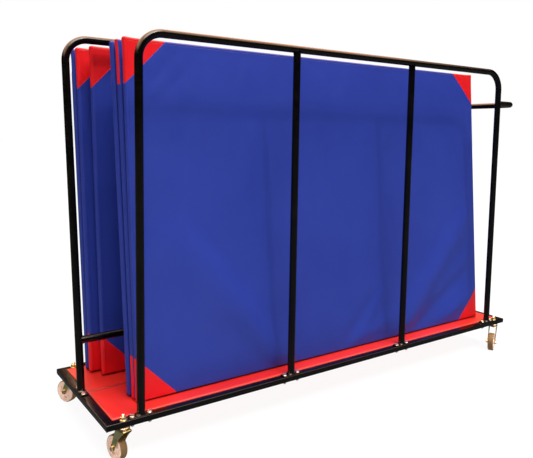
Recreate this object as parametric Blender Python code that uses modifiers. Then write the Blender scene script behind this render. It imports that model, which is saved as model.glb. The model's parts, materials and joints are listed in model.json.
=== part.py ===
"""Mat trolley: a flat steel frame on four swivel casters, with three bent-tube hoops that
keep gym mats standing on edge in a front bay and a rear bay.

Units are metres. +X runs along the trolley towards its push handle, +Y from the front hoop
to the rear hoop, +Z up. The origin lies on the floor, under the middle of the bounding box.
"""
import bmesh
import bpy
from math import cos, pi, radians, sin, sqrt, tan
from mathutils import Matrix, Vector

# Driving sizes of the mats
MAT_LENGTH = 1.830
MAT_HEIGHT = 1.220
MAT_THICKNESS = 0.030
MAT_CROWN = 0.0015
MAT_EDGE_RADIUS = 0.006
MAT_COLUMNS = 6
MAT_ROWS = 4
# Each mat of a bay, front to back: left end from the base's left end, gap at its foot to the hoop or
# the mat in front of it, and how far it leans back
FRONT_MATS = (
    ("mat_front_1", 0.142, 0.05955, radians(4.75)),
    ("mat_front_2", 0.141, 0.0010, radians(5.50)),
    ("mat_front_3", 0.135, 0.0010, radians(5.90)),
)
REAR_MATS = (
    ("mat_rear_1", 0.124, 0.06555, radians(4.25)),
    ("mat_rear_2", 0.0945, 0.0220, radians(4.75)),
    ("mat_rear_3", 0.0915, 0.0020, radians(5.30)),
)

# Driving sizes of the base frame
MAT_END_ROOM = 0.120
FRONT_BAY = 0.278
REAR_BAY = 0.237
RAIL_WIDTH = 0.030
RAIL_HEIGHT = 0.020
RAIL_EDGE = 0.002
CASTER_HEIGHT = 0.125
BEARER_COUNT = 4
BEARER_WIDTH = 0.040
BEARER_THICKNESS = 0.005
BEARER_END_INSET = 0.020
DECK_THICKNESS = 0.012
DECK_PROUD = 0.003
DECK_CLEARANCE = 0.001
DECK_EDGE = 0.0015

# Driving sizes of the hoops and the handle
TUBE_RADIUS = 0.01345
TUBE_SIDES_RESOLUTION = 4
HOOP_BEND_STEPS = 6
HANDLE_BEND_STEPS = 5
CASTER_TO_FOOT = 0.0589
HOOP_HEIGHT = 1.2155
HOOP_BEND_RADIUS = 0.080
MIDDLE_HOOP_RISE = 0.0233
RAKE = radians(5.55)
BAR_COUNT = 2
LOWER_RAIL_HEIGHT = 0.181
HANDLE_DROP = 0.0645
HANDLE_BEND_RADIUS = 0.050
PLATE_LENGTH = 0.084
PLATE_INSET = 0.001
PLATE_THICKNESS = 0.004
PLATE_CORNER_RADIUS = 0.005
BOLT_SPACING = 0.060
BOLT_RADIUS = 0.004
BOLT_HEAD_ACROSS_FLATS = 0.013
BOLT_HEAD_HEIGHT = 0.0055
BOLT_THREAD_END = 0.0028
BOLT_WASHER_RADIUS = 0.0085
BOLT_WASHER_THICKNESS = 0.0015
NUT_HEIGHT = 0.0065

# Driving sizes of the casters
CASTER_INSET = 0.0621
WHEEL_RADIUS = 0.0425
WHEEL_WIDTH = 0.025
TYRE_THICKNESS = 0.0105
TYRE_EDGE_RADIUS = 0.004
TRAIL = 0.036
HUB_RADIUS = 0.0115
RIM_THICKNESS = 0.005
RIM_INSET = 0.001
WEB_HALF = 0.004
WEB_DRAFT = 0.001
HUB_SIDE_CLEARANCE = 0.001
FORK_SIDE_CLEARANCE = 0.003
FORK_THICKNESS = 0.0025
CROWN_THICKNESS = 0.003
CROWN_LEAD = 0.023
CROWN_TAIL = 0.019
CROWN_CORNER_RADIUS = 0.012
CROWN_SIDE_INSET = 0.0003
LEG_SETBACK = 0.004
LEG_FRONT_DROP = 0.006
LEG_SWEEP_PULL = (0.004, -0.026)
LEG_BOSS_START = radians(200)
AXLE_BOSS_RADIUS = 0.0095
AXLE_RADIUS = 0.004
AXLE_THREAD_END = 0.003
STEM_RADIUS = 0.006
STEM_HEAD_RADIUS = 0.010
STEM_HEAD_HEIGHT = 0.004
STEM_END = 0.009
STEM_DOME = 0.003
STEM_HEAD_EDGE = 0.001
STEM_NUT_ACROSS_FLATS = 0.018
STEM_NUT_HEIGHT = 0.009
STEM_WASHER_RADIUS = 0.0125
STEM_WASHER_THICKNESS = 0.002
RACE_RADIUS = 0.021
RACE_HEIGHT = 0.009
RACE_TOP_EDGE = 0.003
RACE_FOOT_EDGE = 0.002
# Direction in which each wheel trails behind its stem at rest, in degrees from +X
CASTER_HEADINGS = {"front_left": 104.0, "front_right": -153.0, "rear_left": 118.0, "rear_right": 160.0}

# Clearances
SEAT_GAP = 0.0003
BOLT_HOLE_CLEARANCE = 0.0005
RUNNING_CLEARANCE = 0.0004
CUTTER_MARGIN = 0.050
FOOT_CUT_DEPTH = 0.030

# Sizes and places that follow from the driving sizes
BASE_LENGTH = MAT_LENGTH + 2 * MAT_END_ROOM
BASE_WIDTH = FRONT_BAY + REAR_BAY + RAIL_WIDTH
PLATE_WIDTH = RAIL_WIDTH - 2 * PLATE_INSET
MIDDLE_HOOP_HEIGHT = HOOP_HEIGHT + MIDDLE_HOOP_RISE
HANDLE_HEIGHT = HOOP_HEIGHT - HOOP_BEND_RADIUS - HANDLE_DROP
HANDLE_CROSS_OFFSET = 2 * TUBE_RADIUS + SEAT_GAP
# A coped tube starts this far from the centre line of the tube that it is welded to
COPE_START = 0.4 * TUBE_RADIUS
COPE_RADIUS = TUBE_RADIUS + SEAT_GAP
COPE_LENGTH = 4 * TUBE_RADIUS
OVERALL_LENGTH = BASE_LENGTH - RAIL_WIDTH / 2 + HANDLE_CROSS_OFFSET + TUBE_RADIUS


def wheel_reach(heading):
    """Distance from a stem to the foremost point of its wheel, towards -Y."""
    swing = radians(heading)
    tread = (WHEEL_RADIUS - TYRE_EDGE_RADIUS) * abs(sin(swing))
    side = (WHEEL_WIDTH / 2 - TYRE_EDGE_RADIUS) * abs(cos(swing))
    return tread + side + TYRE_EDGE_RADIUS - TRAIL * sin(swing)


FRONT_REACH = max(wheel_reach(CASTER_HEADINGS[name]) for name in ("front_left", "front_right"))
FRONT_OVERHANG = max(0.0, FRONT_REACH - RAIL_WIDTH / 2)
REAR_OVERHANG = HOOP_HEIGHT * sin(RAKE) + TUBE_RADIUS - RAIL_WIDTH / 2
OVERALL_DEPTH = FRONT_OVERHANG + BASE_WIDTH + REAR_OVERHANG

LEFT = -OVERALL_LENGTH / 2
RIGHT = LEFT + BASE_LENGTH
FRONT = -OVERALL_DEPTH / 2 + FRONT_OVERHANG
REAR = FRONT + BASE_WIDTH
RAIL_BOTTOM = CASTER_HEIGHT
RAIL_TOP = RAIL_BOTTOM + RAIL_HEIGHT
DECK_TOP = RAIL_TOP + DECK_PROUD
DECK_BOTTOM = DECK_TOP - DECK_THICKNESS
BEARER_TOP = DECK_BOTTOM - SEAT_GAP
PLATE_TOP = RAIL_TOP + SEAT_GAP + PLATE_THICKNESS
TUBE_FOOT = PLATE_TOP + SEAT_GAP
FRONT_LINE = FRONT + RAIL_WIDTH / 2
REAR_LINE = REAR - RAIL_WIDTH / 2
MIDDLE_LINE = FRONT_LINE + FRONT_BAY
HOOP_LEFT = LEFT + CASTER_INSET + CASTER_TO_FOOT
HOOP_RIGHT = RIGHT - CASTER_INSET - CASTER_TO_FOOT
HOOP_MIDDLE_X = (LEFT + RIGHT) / 2
HOOP_SPAN = HOOP_RIGHT - HOOP_LEFT
MIDDLE_LEFT = LEFT + RAIL_WIDTH / 2
MIDDLE_RIGHT = RIGHT - RAIL_WIDTH / 2
MIDDLE_SPAN = MIDDLE_RIGHT - MIDDLE_LEFT
STEM_PLACES = {
    "front_left": (LEFT + CASTER_INSET, FRONT_LINE),
    "front_right": (RIGHT - CASTER_INSET, FRONT_LINE),
    "rear_left": (LEFT + CASTER_INSET, REAR_LINE),
    "rear_right": (RIGHT - CASTER_INSET, REAR_LINE),
}

for old in list(bpy.data.objects):
    bpy.data.objects.remove(old, do_unlink=True)
parts = bpy.data.collections.new("mat_trolley")
cutters = bpy.data.collections.new("cutters")
bpy.context.scene.collection.children.link(parts)
bpy.context.scene.collection.children.link(cutters)


# Materials
def material(name, color, roughness, metallic=0.0):
    """Principled material of one plain colour."""
    made = bpy.data.materials.new(name)
    made.use_nodes = True
    shader = made.node_tree.nodes["Principled BSDF"]
    shader.inputs["Base Color"].default_value = (*color, 1.0)
    shader.inputs["Roughness"].default_value = roughness
    shader.inputs["Metallic"].default_value = metallic
    made.diffuse_color = (*color, 1.0)
    return made


BLACK_PAINT = ((0.006, 0.006, 0.005), 0.30, 0.0)
RED_BOARD = ((0.75, 0.03, 0.02), 0.45, 0.0)
ZINC = ((0.62, 0.60, 0.52), 0.30, 1.0)
YELLOW_ZINC = ((0.45, 0.42, 0.20), 0.35, 1.0)
CREAM_PLASTIC = ((0.80, 0.62, 0.50), 0.45, 0.0)
TAN_RUBBER = ((0.55, 0.33, 0.18), 0.60, 0.0)
BLUE_VINYL = ((0.035, 0.05, 0.32), 0.40, 0.0)


# Meshes
def closed(mesh):
    """The same mesh with its loose seams welded and its faces pointing out."""
    edit = bmesh.new()
    edit.from_mesh(mesh)
    bmesh.ops.remove_doubles(edit, verts=edit.verts, dist=0.00001)
    bmesh.ops.recalc_face_normals(edit, faces=edit.faces)
    edit.to_mesh(mesh)
    edit.free()
    return mesh


def plain_faced(mesh):
    """The same mesh with its flat faces whole again, so that its edges bevel evenly."""
    edit = bmesh.new()
    edit.from_mesh(mesh)
    bmesh.ops.dissolve_limit(edit, angle_limit=radians(1), verts=edit.verts, edges=edit.edges)
    edit.to_mesh(mesh)
    edit.free()
    return mesh


def evaluated_mesh(source):
    """Mesh of an object with its modifiers or its curve bevel applied; the object goes."""
    bpy.context.view_layer.update()
    graph = bpy.context.evaluated_depsgraph_get()
    mesh = bpy.data.meshes.new_from_object(source.evaluated_get(graph))
    bpy.data.objects.remove(source, do_unlink=True)
    return closed(mesh)


def box(size, centre):
    """Box of a full size about a centre."""
    edit = bmesh.new()
    place = Matrix.Translation(centre) @ Matrix.Diagonal((*size, 1.0))
    bmesh.ops.create_cube(edit, size=1.0, matrix=place)
    mesh = bpy.data.meshes.new("box")
    edit.to_mesh(mesh)
    edit.free()
    return mesh


def rod(radius, length, foot, direction=(0, 0, 1), sides=16):
    """Round rod, or a prism with few sides, from a foot point along a direction."""
    edit = bmesh.new()
    turn = Vector((0, 0, 1)).rotation_difference(Vector(direction)).to_matrix().to_4x4()
    place = Matrix.Translation(foot) @ turn @ Matrix.Translation((0, 0, length / 2))
    bmesh.ops.create_cone(edit, cap_ends=True, segments=sides, radius1=radius, radius2=radius,
                          depth=length, matrix=place)
    mesh = bpy.data.meshes.new("rod")
    edit.to_mesh(mesh)
    edit.free()
    return mesh


def tube(points):
    """Solid round tube along a line of points."""
    curve = bpy.data.curves.new("tube", "CURVE")
    curve.dimensions = "3D"
    curve.bevel_depth = TUBE_RADIUS
    curve.bevel_resolution = TUBE_SIDES_RESOLUTION
    curve.use_fill_caps = True
    line = curve.splines.new("POLY")
    line.points.add(len(points) - 1)
    for point, place in zip(line.points, points):
        point.co = (*place, 1.0)
    source = bpy.data.objects.new("tube", curve)
    parts.objects.link(source)
    return evaluated_mesh(source)


def flat_plate(outline, holes, thickness):
    """Plate of a closed outline with holes through it, on z = 0, growing upwards."""
    curve = bpy.data.curves.new("plate", "CURVE")
    curve.dimensions = "2D"
    curve.fill_mode = "BOTH"
    curve.extrude = thickness / 2
    for ring in [outline, *holes]:
        line = curve.splines.new("POLY")
        line.use_cyclic_u = True
        line.points.add(len(ring) - 1)
        for point, (x, y) in zip(line.points, ring):
            point.co = (x, y, 0.0, 1.0)
    source = bpy.data.objects.new("plate", curve)
    parts.objects.link(source)
    mesh = evaluated_mesh(source)
    mesh.transform(Matrix.Translation((0, 0, thickness / 2)))
    return mesh


def turned(profile, steps):
    """Solid turned about Z from (radius, height) points; the profile closes on itself or on the axis."""
    mesh = bpy.data.meshes.new("turned")
    count = len(profile)
    on_axis = profile[0][0] == 0.0
    edges = [(i, (i + 1) % count) for i in range(count - 1 if on_axis else count)]
    mesh.from_pydata([(radius, 0.0, height) for radius, height in profile], edges, [])
    source = bpy.data.objects.new("turned", mesh)
    parts.objects.link(source)
    screw = source.modifiers.new("Screw", "SCREW")
    screw.axis = "Z"
    screw.angle = 2 * pi
    screw.steps = screw.render_steps = steps
    screw.use_merge_vertices = True
    screw.merge_threshold = 0.00001
    return evaluated_mesh(source)


def joined(meshes):
    """One mesh that holds several; solids that don't touch stay separate."""
    edit = bmesh.new()
    for mesh in meshes:
        edit.from_mesh(mesh)
    whole = bpy.data.meshes.new("joined")
    edit.to_mesh(whole)
    edit.free()
    return whole


def boolean_result(base, others, operation):
    """Mesh of a solid united with others, or with others cut from it."""
    target = bpy.data.objects.new("target", base)
    parts.objects.link(target)
    tools = []
    for other in others:
        tool = bpy.data.objects.new("tool", other)
        cutters.objects.link(tool)
        tools.append(tool)
        step = target.modifiers.new("Boolean", "BOOLEAN")
        step.operation = operation
        step.object = tool
    mesh = evaluated_mesh(target)
    for tool in tools:
        bpy.data.objects.remove(tool, do_unlink=True)
    return mesh


def circle(radius, centre=(0.0, 0.0), sides=12):
    """Points of a circle."""
    x, y = centre
    angles = [2 * pi * i / sides for i in range(sides)]
    return [(x + radius * cos(angle), y + radius * sin(angle)) for angle in angles]


def rounded_rectangle(low, high, radius, steps=2):
    """Points of a rectangle between two corners, with quarter-round corners."""
    points = []
    corners = ((high[0], high[1], 0), (low[0], high[1], 1), (low[0], low[1], 2), (high[0], low[1], 3))
    for x, y, quarter in corners:
        centre_x = x - radius if quarter in (0, 3) else x + radius
        centre_y = y - radius if quarter in (0, 1) else y + radius
        for i in range(steps + 1):
            angle = (quarter + i / steps) * pi / 2
            points.append((centre_x + radius * cos(angle), centre_y + radius * sin(angle)))
    return points


# Objects
def piece(name, mesh, finish, parent=None, smooth=True):
    """A named sub-part with its own material, in the trolley's collection."""
    mesh.name = name
    made = bpy.data.objects.new(name, mesh)
    mesh.materials.clear()
    mesh.materials.append(material(name, *finish))
    if smooth:
        mesh.shade_smooth()
        mesh.set_sharp_from_angle(angle=radians(35))
    parts.objects.link(made)
    made.parent = parent
    return made


def cut(target, mesh, name, parent=None):
    """Cuts a mesh out of a piece with a live Boolean and a hidden cutter."""
    cutter = bpy.data.objects.new(name, mesh)
    cutters.objects.link(cutter)
    cutter.parent = parent
    cutter.hide_render = True
    cutter.display_type = "WIRE"
    step = target.modifiers.new("Cut " + name, "BOOLEAN")
    step.operation = "DIFFERENCE"
    step.object = cutter


def bevelled(target, width, segments):
    """Rounds a piece's hard edges."""
    step = target.modifiers.new("Bevel", "BEVEL")
    step.width = width
    step.segments = segments
    step.limit_method = "ANGLE"
    step.angle_limit = radians(30)


def empty(name, place, turn=0.0, axis="Z", parent=None):
    """An empty that carries pieces which share one place and turn."""
    made = bpy.data.objects.new(name, None)
    parts.objects.link(made)
    made.parent = parent
    made.location = place
    made.rotation_euler[("X", "Y", "Z").index(axis)] = turn
    made.empty_display_size = 0.05
    return made


# Base frame: four mitred rails of rectangular tube with flat bearers across
def bolt_pairs(line_y, xs):
    """Bolt places on a rail that runs along X."""
    return [(x + side * BOLT_SPACING / 2, line_y) for x in xs for side in (-1, 1)]


HOOP_FEET_X = [HOOP_LEFT + HOOP_SPAN * i / (BAR_COUNT + 1) for i in range(BAR_COUNT + 2)]
FRONT_BOLTS = bolt_pairs(FRONT_LINE, HOOP_FEET_X)
REAR_BOLTS = bolt_pairs(REAR_LINE, HOOP_FEET_X)
LEFT_BOLTS = [(MIDDLE_LEFT, MIDDLE_LINE + side * BOLT_SPACING / 2) for side in (-1, 1)]
RIGHT_BOLTS = [(MIDDLE_RIGHT, MIDDLE_LINE + side * BOLT_SPACING / 2) for side in (-1, 1)]


def upright_rods(places, radius, sides):
    """Rods that cut round holes through a rail."""
    margin = RAIL_HEIGHT / 4
    length = RAIL_HEIGHT + 2 * margin
    return [rod(radius, length, (x, y, RAIL_BOTTOM - margin), sides=sides) for x, y in places]


def rail(name, outline, bolts, stems):
    """Mitred rail with rounded edges and drilled for its bolts and caster stems."""
    mesh = flat_plate(outline, [], RAIL_HEIGHT)
    mesh.transform(Matrix.Translation((0, 0, RAIL_BOTTOM)))
    made = piece(name, plain_faced(mesh), BLACK_PAINT)
    bevelled(made, RAIL_EDGE, 2)
    holes = upright_rods(bolts, BOLT_RADIUS + BOLT_HOLE_CLEARANCE, 8)
    holes += upright_rods(stems, STEM_RADIUS + BOLT_HOLE_CLEARANCE, 12)
    cut(made, joined(holes), name + "_holes")


MITRE_GAP = SEAT_GAP * sqrt(2)
INNER_LEFT = LEFT + RAIL_WIDTH
INNER_RIGHT = RIGHT - RAIL_WIDTH
INNER_FRONT = FRONT + RAIL_WIDTH
INNER_REAR = REAR - RAIL_WIDTH
rail("rail_front",
     [(LEFT + MITRE_GAP, FRONT), (RIGHT - MITRE_GAP, FRONT),
      (INNER_RIGHT - MITRE_GAP, INNER_FRONT), (INNER_LEFT + MITRE_GAP, INNER_FRONT)],
     FRONT_BOLTS, [STEM_PLACES["front_left"], STEM_PLACES["front_right"]])
rail("rail_rear",
     [(INNER_LEFT + MITRE_GAP, INNER_REAR), (INNER_RIGHT - MITRE_GAP, INNER_REAR),
      (RIGHT - MITRE_GAP, REAR), (LEFT + MITRE_GAP, REAR)],
     REAR_BOLTS, [STEM_PLACES["rear_left"], STEM_PLACES["rear_right"]])
rail("rail_left",
     [(LEFT, FRONT), (INNER_LEFT, INNER_FRONT), (INNER_LEFT, INNER_REAR), (LEFT, REAR)],
     LEFT_BOLTS, [])
rail("rail_right",
     [(INNER_RIGHT, INNER_FRONT), (RIGHT, FRONT), (RIGHT, REAR), (INNER_RIGHT, INNER_REAR)],
     RIGHT_BOLTS, [])

BEARER_FIRST = INNER_LEFT + BEARER_END_INSET + BEARER_WIDTH / 2
BEARER_LAST = INNER_RIGHT - BEARER_END_INSET - BEARER_WIDTH / 2
BEARER_STEP = (BEARER_LAST - BEARER_FIRST) / (BEARER_COUNT - 1)
BEARER_XS = [BEARER_FIRST + BEARER_STEP * i for i in range(BEARER_COUNT)]
BEARER_LENGTH = INNER_REAR - INNER_FRONT - 2 * SEAT_GAP
DECK_LENGTH = INNER_RIGHT - INNER_LEFT - 2 * DECK_CLEARANCE
BOARD_WIDTH = (INNER_REAR - INNER_FRONT - 3 * DECK_CLEARANCE) / 2
BOARD_FRONTS = {
    "deck_board_front": INNER_FRONT + DECK_CLEARANCE,
    "deck_board_rear": INNER_FRONT + 2 * DECK_CLEARANCE + BOARD_WIDTH,
}

for index, bearer_x in enumerate(BEARER_XS, start=1):
    piece(
        f"deck_bearer_{index}",
        box((BEARER_WIDTH, BEARER_LENGTH, BEARER_THICKNESS),
            (bearer_x, (INNER_FRONT + INNER_REAR) / 2, BEARER_TOP - BEARER_THICKNESS / 2)),
        BLACK_PAINT, smooth=False)

# Deck: two painted boards let into the frame, side by side on the bearers
for name, board_front in BOARD_FRONTS.items():
    board = piece(
        name,
        box((DECK_LENGTH, BOARD_WIDTH, DECK_THICKNESS),
            (HOOP_MIDDLE_X, board_front + BOARD_WIDTH / 2, DECK_BOTTOM + DECK_THICKNESS / 2)),
        RED_BOARD)
    bevelled(board, DECK_EDGE, 2)


# Hoops: bent tubes on bolted foot plates
def hoop_points(span, height, foot):
    """Centre line of a hoop: up one leg, round two quarter bends and down the other leg."""
    radius = HOOP_BEND_RADIUS
    steps = HOOP_BEND_STEPS
    half = span / 2
    points = [(-half, 0.0, foot), (-half, 0.0, height / 2)]
    for i in range(steps + 1):
        angle = pi - (pi / 2) * i / steps
        points.append((-half + radius + radius * cos(angle), 0.0, height - radius + radius * sin(angle)))
    points.append((0.0, 0.0, height))
    for i in range(steps + 1):
        angle = pi / 2 - (pi / 2) * i / steps
        points.append((half - radius + radius * cos(angle), 0.0, height - radius + radius * sin(angle)))
    points += [(half, 0.0, height / 2), (half, 0.0, foot)]
    return points


def foot_trim(line_y):
    """Box that trims tube feet level, just above their plates."""
    centre = (HOOP_MIDDLE_X, line_y, TUBE_FOOT - FOOT_CUT_DEPTH / 2)
    return box((BASE_LENGTH + 2 * CUTTER_MARGIN, 2 * CUTTER_MARGIN, FOOT_CUT_DEPTH), centre)


def cope_along_x(height):
    """Rod along X over the whole base that copes an upright tube to the hoop's top."""
    length = BASE_LENGTH + 2 * CUTTER_MARGIN
    return rod(COPE_RADIUS, length, (-length / 2, 0.0, height), (1, 0, 0), sides=24)


def hoop(name, line_y, span, height, rake):
    """Hoop tube on an empty at rail height, which leans it back."""
    carrier = empty(name + "_carrier", (HOOP_MIDDLE_X, line_y, RAIL_TOP), -rake, "X")
    foot = -FOOT_CUT_DEPTH / 2 if rake else TUBE_FOOT - RAIL_TOP
    made = piece(name, tube(hoop_points(span, height, foot)), BLACK_PAINT, parent=carrier)
    if rake:
        cut(made, foot_trim(line_y), name + "_foot_trim")
    return carrier


def hoop_bars(stem_name, carrier, line_y, height, rake):
    """Upright bars between a hoop's legs, coped to its top tube."""
    names = ("left", "right")
    foot = -FOOT_CUT_DEPTH / 2 if rake else TUBE_FOOT - RAIL_TOP
    top = height - COPE_START
    for index in range(BAR_COUNT):
        x = HOOP_FEET_X[index + 1] - HOOP_MIDDLE_X
        label = names[index] if BAR_COUNT == len(names) else str(index + 1)
        name = f"{stem_name}_bar_{label}"
        bar_mesh = rod(TUBE_RADIUS, top - foot, (x, 0, foot), sides=12)
        bar = piece(name, bar_mesh, BLACK_PAINT, parent=carrier)
        cut(bar, cope_along_x(height), name + "_cope", parent=carrier)
        if rake:
            cut(bar, foot_trim(line_y), name + "_foot_trim")


def foot_mesh():
    """Foot plate with its two bolts: heads and washers above, nuts and thread ends under the rail.

    Local X runs along the plate, and z = 0 is the top of the rail.
    """
    half_length, half_width = PLATE_LENGTH / 2, PLATE_WIDTH / 2
    outline = rounded_rectangle((-half_length, -half_width), (half_length, half_width), PLATE_CORNER_RADIUS)
    plate = flat_plate(outline, [], PLATE_THICKNESS)
    plate.transform(Matrix.Translation((0, 0, SEAT_GAP)))
    top = SEAT_GAP + PLATE_THICKNESS
    sunk = PLATE_THICKNESS / 4
    nut_top = -RAIL_HEIGHT - SEAT_GAP
    shank_foot = nut_top - NUT_HEIGHT - BOLT_THREAD_END
    shapes = []
    for x in (-BOLT_SPACING / 2, BOLT_SPACING / 2):
        shapes.append(rod(BOLT_WASHER_RADIUS, BOLT_WASHER_THICKNESS + sunk, (x, 0, top - sunk), sides=10))
        head_foot = top + BOLT_WASHER_THICKNESS / 2
        shapes.append(rod(BOLT_HEAD_ACROSS_FLATS / sqrt(3), BOLT_HEAD_HEIGHT + BOLT_WASHER_THICKNESS / 2,
                          (x, 0, head_foot), sides=6))
        shapes.append(rod(BOLT_RADIUS, top - sunk / 2 - shank_foot, (x, 0, shank_foot), sides=8))
        shapes.append(rod(BOLT_HEAD_ACROSS_FLATS / sqrt(3), NUT_HEIGHT, (x, 0, nut_top - NUT_HEIGHT), sides=6))
    return boolean_result(plate, shapes, "UNION")


foot_shape = foot_mesh()


def foot(name, place, turn=0.0):
    """One bolted foot at a place on a rail."""
    made = piece(name, foot_shape.copy(), ZINC)
    made.location = (*place, RAIL_TOP)
    made.rotation_euler.z = turn


front_carrier = hoop("front_hoop", FRONT_LINE, HOOP_SPAN, HOOP_HEIGHT, 0.0)
hoop_bars("front_hoop", front_carrier, FRONT_LINE, HOOP_HEIGHT, 0.0)
for index, foot_x in enumerate(HOOP_FEET_X, start=1):
    foot(f"front_hoop_foot_{index}", (foot_x, FRONT_LINE))
rear_carrier = hoop("rear_hoop", REAR_LINE, HOOP_SPAN, HOOP_HEIGHT, RAKE)
hoop_bars("rear_hoop", rear_carrier, REAR_LINE, HOOP_HEIGHT, RAKE)
for index, foot_x in enumerate(HOOP_FEET_X, start=1):
    foot(f"rear_hoop_foot_{index}", (foot_x, REAR_LINE))
middle_carrier = hoop("middle_hoop", MIDDLE_LINE, MIDDLE_SPAN, MIDDLE_HOOP_HEIGHT, RAKE)
foot("middle_hoop_foot_left", (MIDDLE_LEFT, MIDDLE_LINE), pi / 2)
foot("middle_hoop_foot_right", (MIDDLE_RIGHT, MIDDLE_LINE), pi / 2)

# Lower rail of the middle hoop, coped to both legs
LOWER_RAIL_ALONG_LEG = LOWER_RAIL_HEIGHT / cos(RAKE)
LOWER_RAIL_LENGTH = MIDDLE_SPAN - 2 * COPE_START
lower_rail = piece(
    "middle_hoop_lower_rail",
    rod(TUBE_RADIUS, LOWER_RAIL_LENGTH, (-LOWER_RAIL_LENGTH / 2, 0, LOWER_RAIL_ALONG_LEG), (1, 0, 0),
        sides=12),
    BLACK_PAINT, parent=middle_carrier)
for side, label in ((-1, "left"), (1, "right")):
    cope_foot = (side * MIDDLE_SPAN / 2, 0, LOWER_RAIL_ALONG_LEG - COPE_LENGTH / 2)
    cope = rod(COPE_RADIUS, COPE_LENGTH, cope_foot, sides=24)
    cut(lower_rail, cope, "lower_rail_cope_" + label, parent=middle_carrier)

# Push handle: a level U of the same tube from the front hoop's leg round to the rear hoop's leg
HANDLE_Z = RAIL_TOP + HANDLE_HEIGHT
HANDLE_CROSS_X = MIDDLE_RIGHT + HANDLE_CROSS_OFFSET
HANDLE_REAR_Y = REAR_LINE + HANDLE_HEIGHT * tan(RAKE)


def handle_points():
    """Centre line of the handle: out from the front leg, across and back to the rear leg."""
    radius = HANDLE_BEND_RADIUS
    steps = HANDLE_BEND_STEPS
    start = HOOP_RIGHT + COPE_START
    points = [(start, FRONT_LINE, HANDLE_Z)]
    for i in range(steps + 1):
        angle = -pi / 2 + (pi / 2) * i / steps
        points.append((HANDLE_CROSS_X - radius + radius * cos(angle),
                       FRONT_LINE + radius + radius * sin(angle), HANDLE_Z))
    for i in range(steps + 1):
        angle = (pi / 2) * i / steps
        points.append((HANDLE_CROSS_X - radius + radius * cos(angle),
                       HANDLE_REAR_Y - radius + radius * sin(angle), HANDLE_Z))
    points.append((start, HANDLE_REAR_Y, HANDLE_Z))
    return points


handle = piece("push_handle", tube(handle_points()), BLACK_PAINT)
FRONT_COPE_FOOT = (HOOP_RIGHT, FRONT_LINE, HANDLE_Z - COPE_LENGTH / 2)
cut(handle, rod(COPE_RADIUS, COPE_LENGTH, FRONT_COPE_FOOT, sides=24), "handle_front_cope")
REAR_LEG_DIRECTION = Vector((0, sin(RAKE), cos(RAKE)))
REAR_COPE_FOOT = Vector((HOOP_RIGHT, HANDLE_REAR_Y, HANDLE_Z)) - REAR_LEG_DIRECTION * COPE_LENGTH / 2
cut(handle, rod(COPE_RADIUS, COPE_LENGTH, REAR_COPE_FOOT, REAR_LEG_DIRECTION, sides=24), "handle_rear_cope")


# Caster fixings on the frame: a stem with its washer and nut, and a race cup under the rail
CROWN_TOP = RAIL_BOTTOM - 2 * SEAT_GAP - RACE_HEIGHT
CROWN_BOTTOM = CROWN_TOP - CROWN_THICKNESS
AXLE_HEIGHT = WHEEL_RADIUS
STEM_WASHER_BOTTOM = RAIL_TOP + SEAT_GAP
STEM_NUT_TOP = STEM_WASHER_BOTTOM + STEM_WASHER_THICKNESS + STEM_NUT_HEIGHT
STEM_TOP = STEM_NUT_TOP + STEM_END
STEM_HEAD_TOP = CROWN_BOTTOM - SEAT_GAP
STEM_HOLE_RADIUS = STEM_RADIUS + BOLT_HOLE_CLEARANCE


def stem_mesh():
    """Stem with a round head under the fork, and its washer and nut on top of the rail."""
    head_bottom = STEM_HEAD_TOP - STEM_HEAD_HEIGHT
    dome = [
        (STEM_RADIUS * sin(angle), STEM_TOP - STEM_DOME * (1 - cos(angle)))
        for angle in (0.0, pi / 4, pi / 2)]
    stem = turned([
        *dome, (STEM_RADIUS, STEM_HEAD_TOP), (STEM_HEAD_RADIUS, STEM_HEAD_TOP),
        (STEM_HEAD_RADIUS, head_bottom + STEM_HEAD_EDGE), (STEM_HEAD_RADIUS - STEM_HEAD_EDGE, head_bottom),
        (0.0, head_bottom)], 12)
    washer = rod(STEM_WASHER_RADIUS, STEM_WASHER_THICKNESS, (0, 0, STEM_WASHER_BOTTOM), sides=16)
    nut_bottom = STEM_WASHER_BOTTOM + STEM_WASHER_THICKNESS / 2
    nut = rod(STEM_NUT_ACROSS_FLATS / sqrt(3), STEM_NUT_TOP - nut_bottom, (0, 0, nut_bottom), sides=6)
    return boolean_result(stem, [washer, nut], "UNION")


def race_cup_mesh():
    """Ring that seats the ball race between the rail and the fork."""
    return turned([
        (RACE_RADIUS - RACE_TOP_EDGE, RACE_HEIGHT), (RACE_RADIUS, RACE_HEIGHT - RACE_TOP_EDGE),
        (RACE_RADIUS, RACE_FOOT_EDGE), (RACE_RADIUS - RACE_FOOT_EDGE, 0.0),
        (STEM_HOLE_RADIUS, 0.0), (STEM_HOLE_RADIUS, RACE_HEIGHT)], 16)


stem_shape = stem_mesh()
race_cup_shape = race_cup_mesh()
for corner, (stem_x, stem_y) in STEM_PLACES.items():
    piece(f"caster_{corner}_stem", stem_shape.copy(), YELLOW_ZINC).location = (stem_x, stem_y, 0)
    race_cup = piece(f"caster_{corner}_race_cup", race_cup_shape.copy(), ZINC)
    race_cup.location = (stem_x, stem_y, CROWN_TOP + SEAT_GAP)

# Casters: fork, axle with its nut, wheel centre and tyre
FORK_INNER = WHEEL_WIDTH / 2 + FORK_SIDE_CLEARANCE
FORK_OUTER = FORK_INNER + FORK_THICKNESS
AXLE_BORE_RADIUS = AXLE_RADIUS + RUNNING_CLEARANCE
HUB_HALF = FORK_INNER - HUB_SIDE_CLEARANCE


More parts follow.
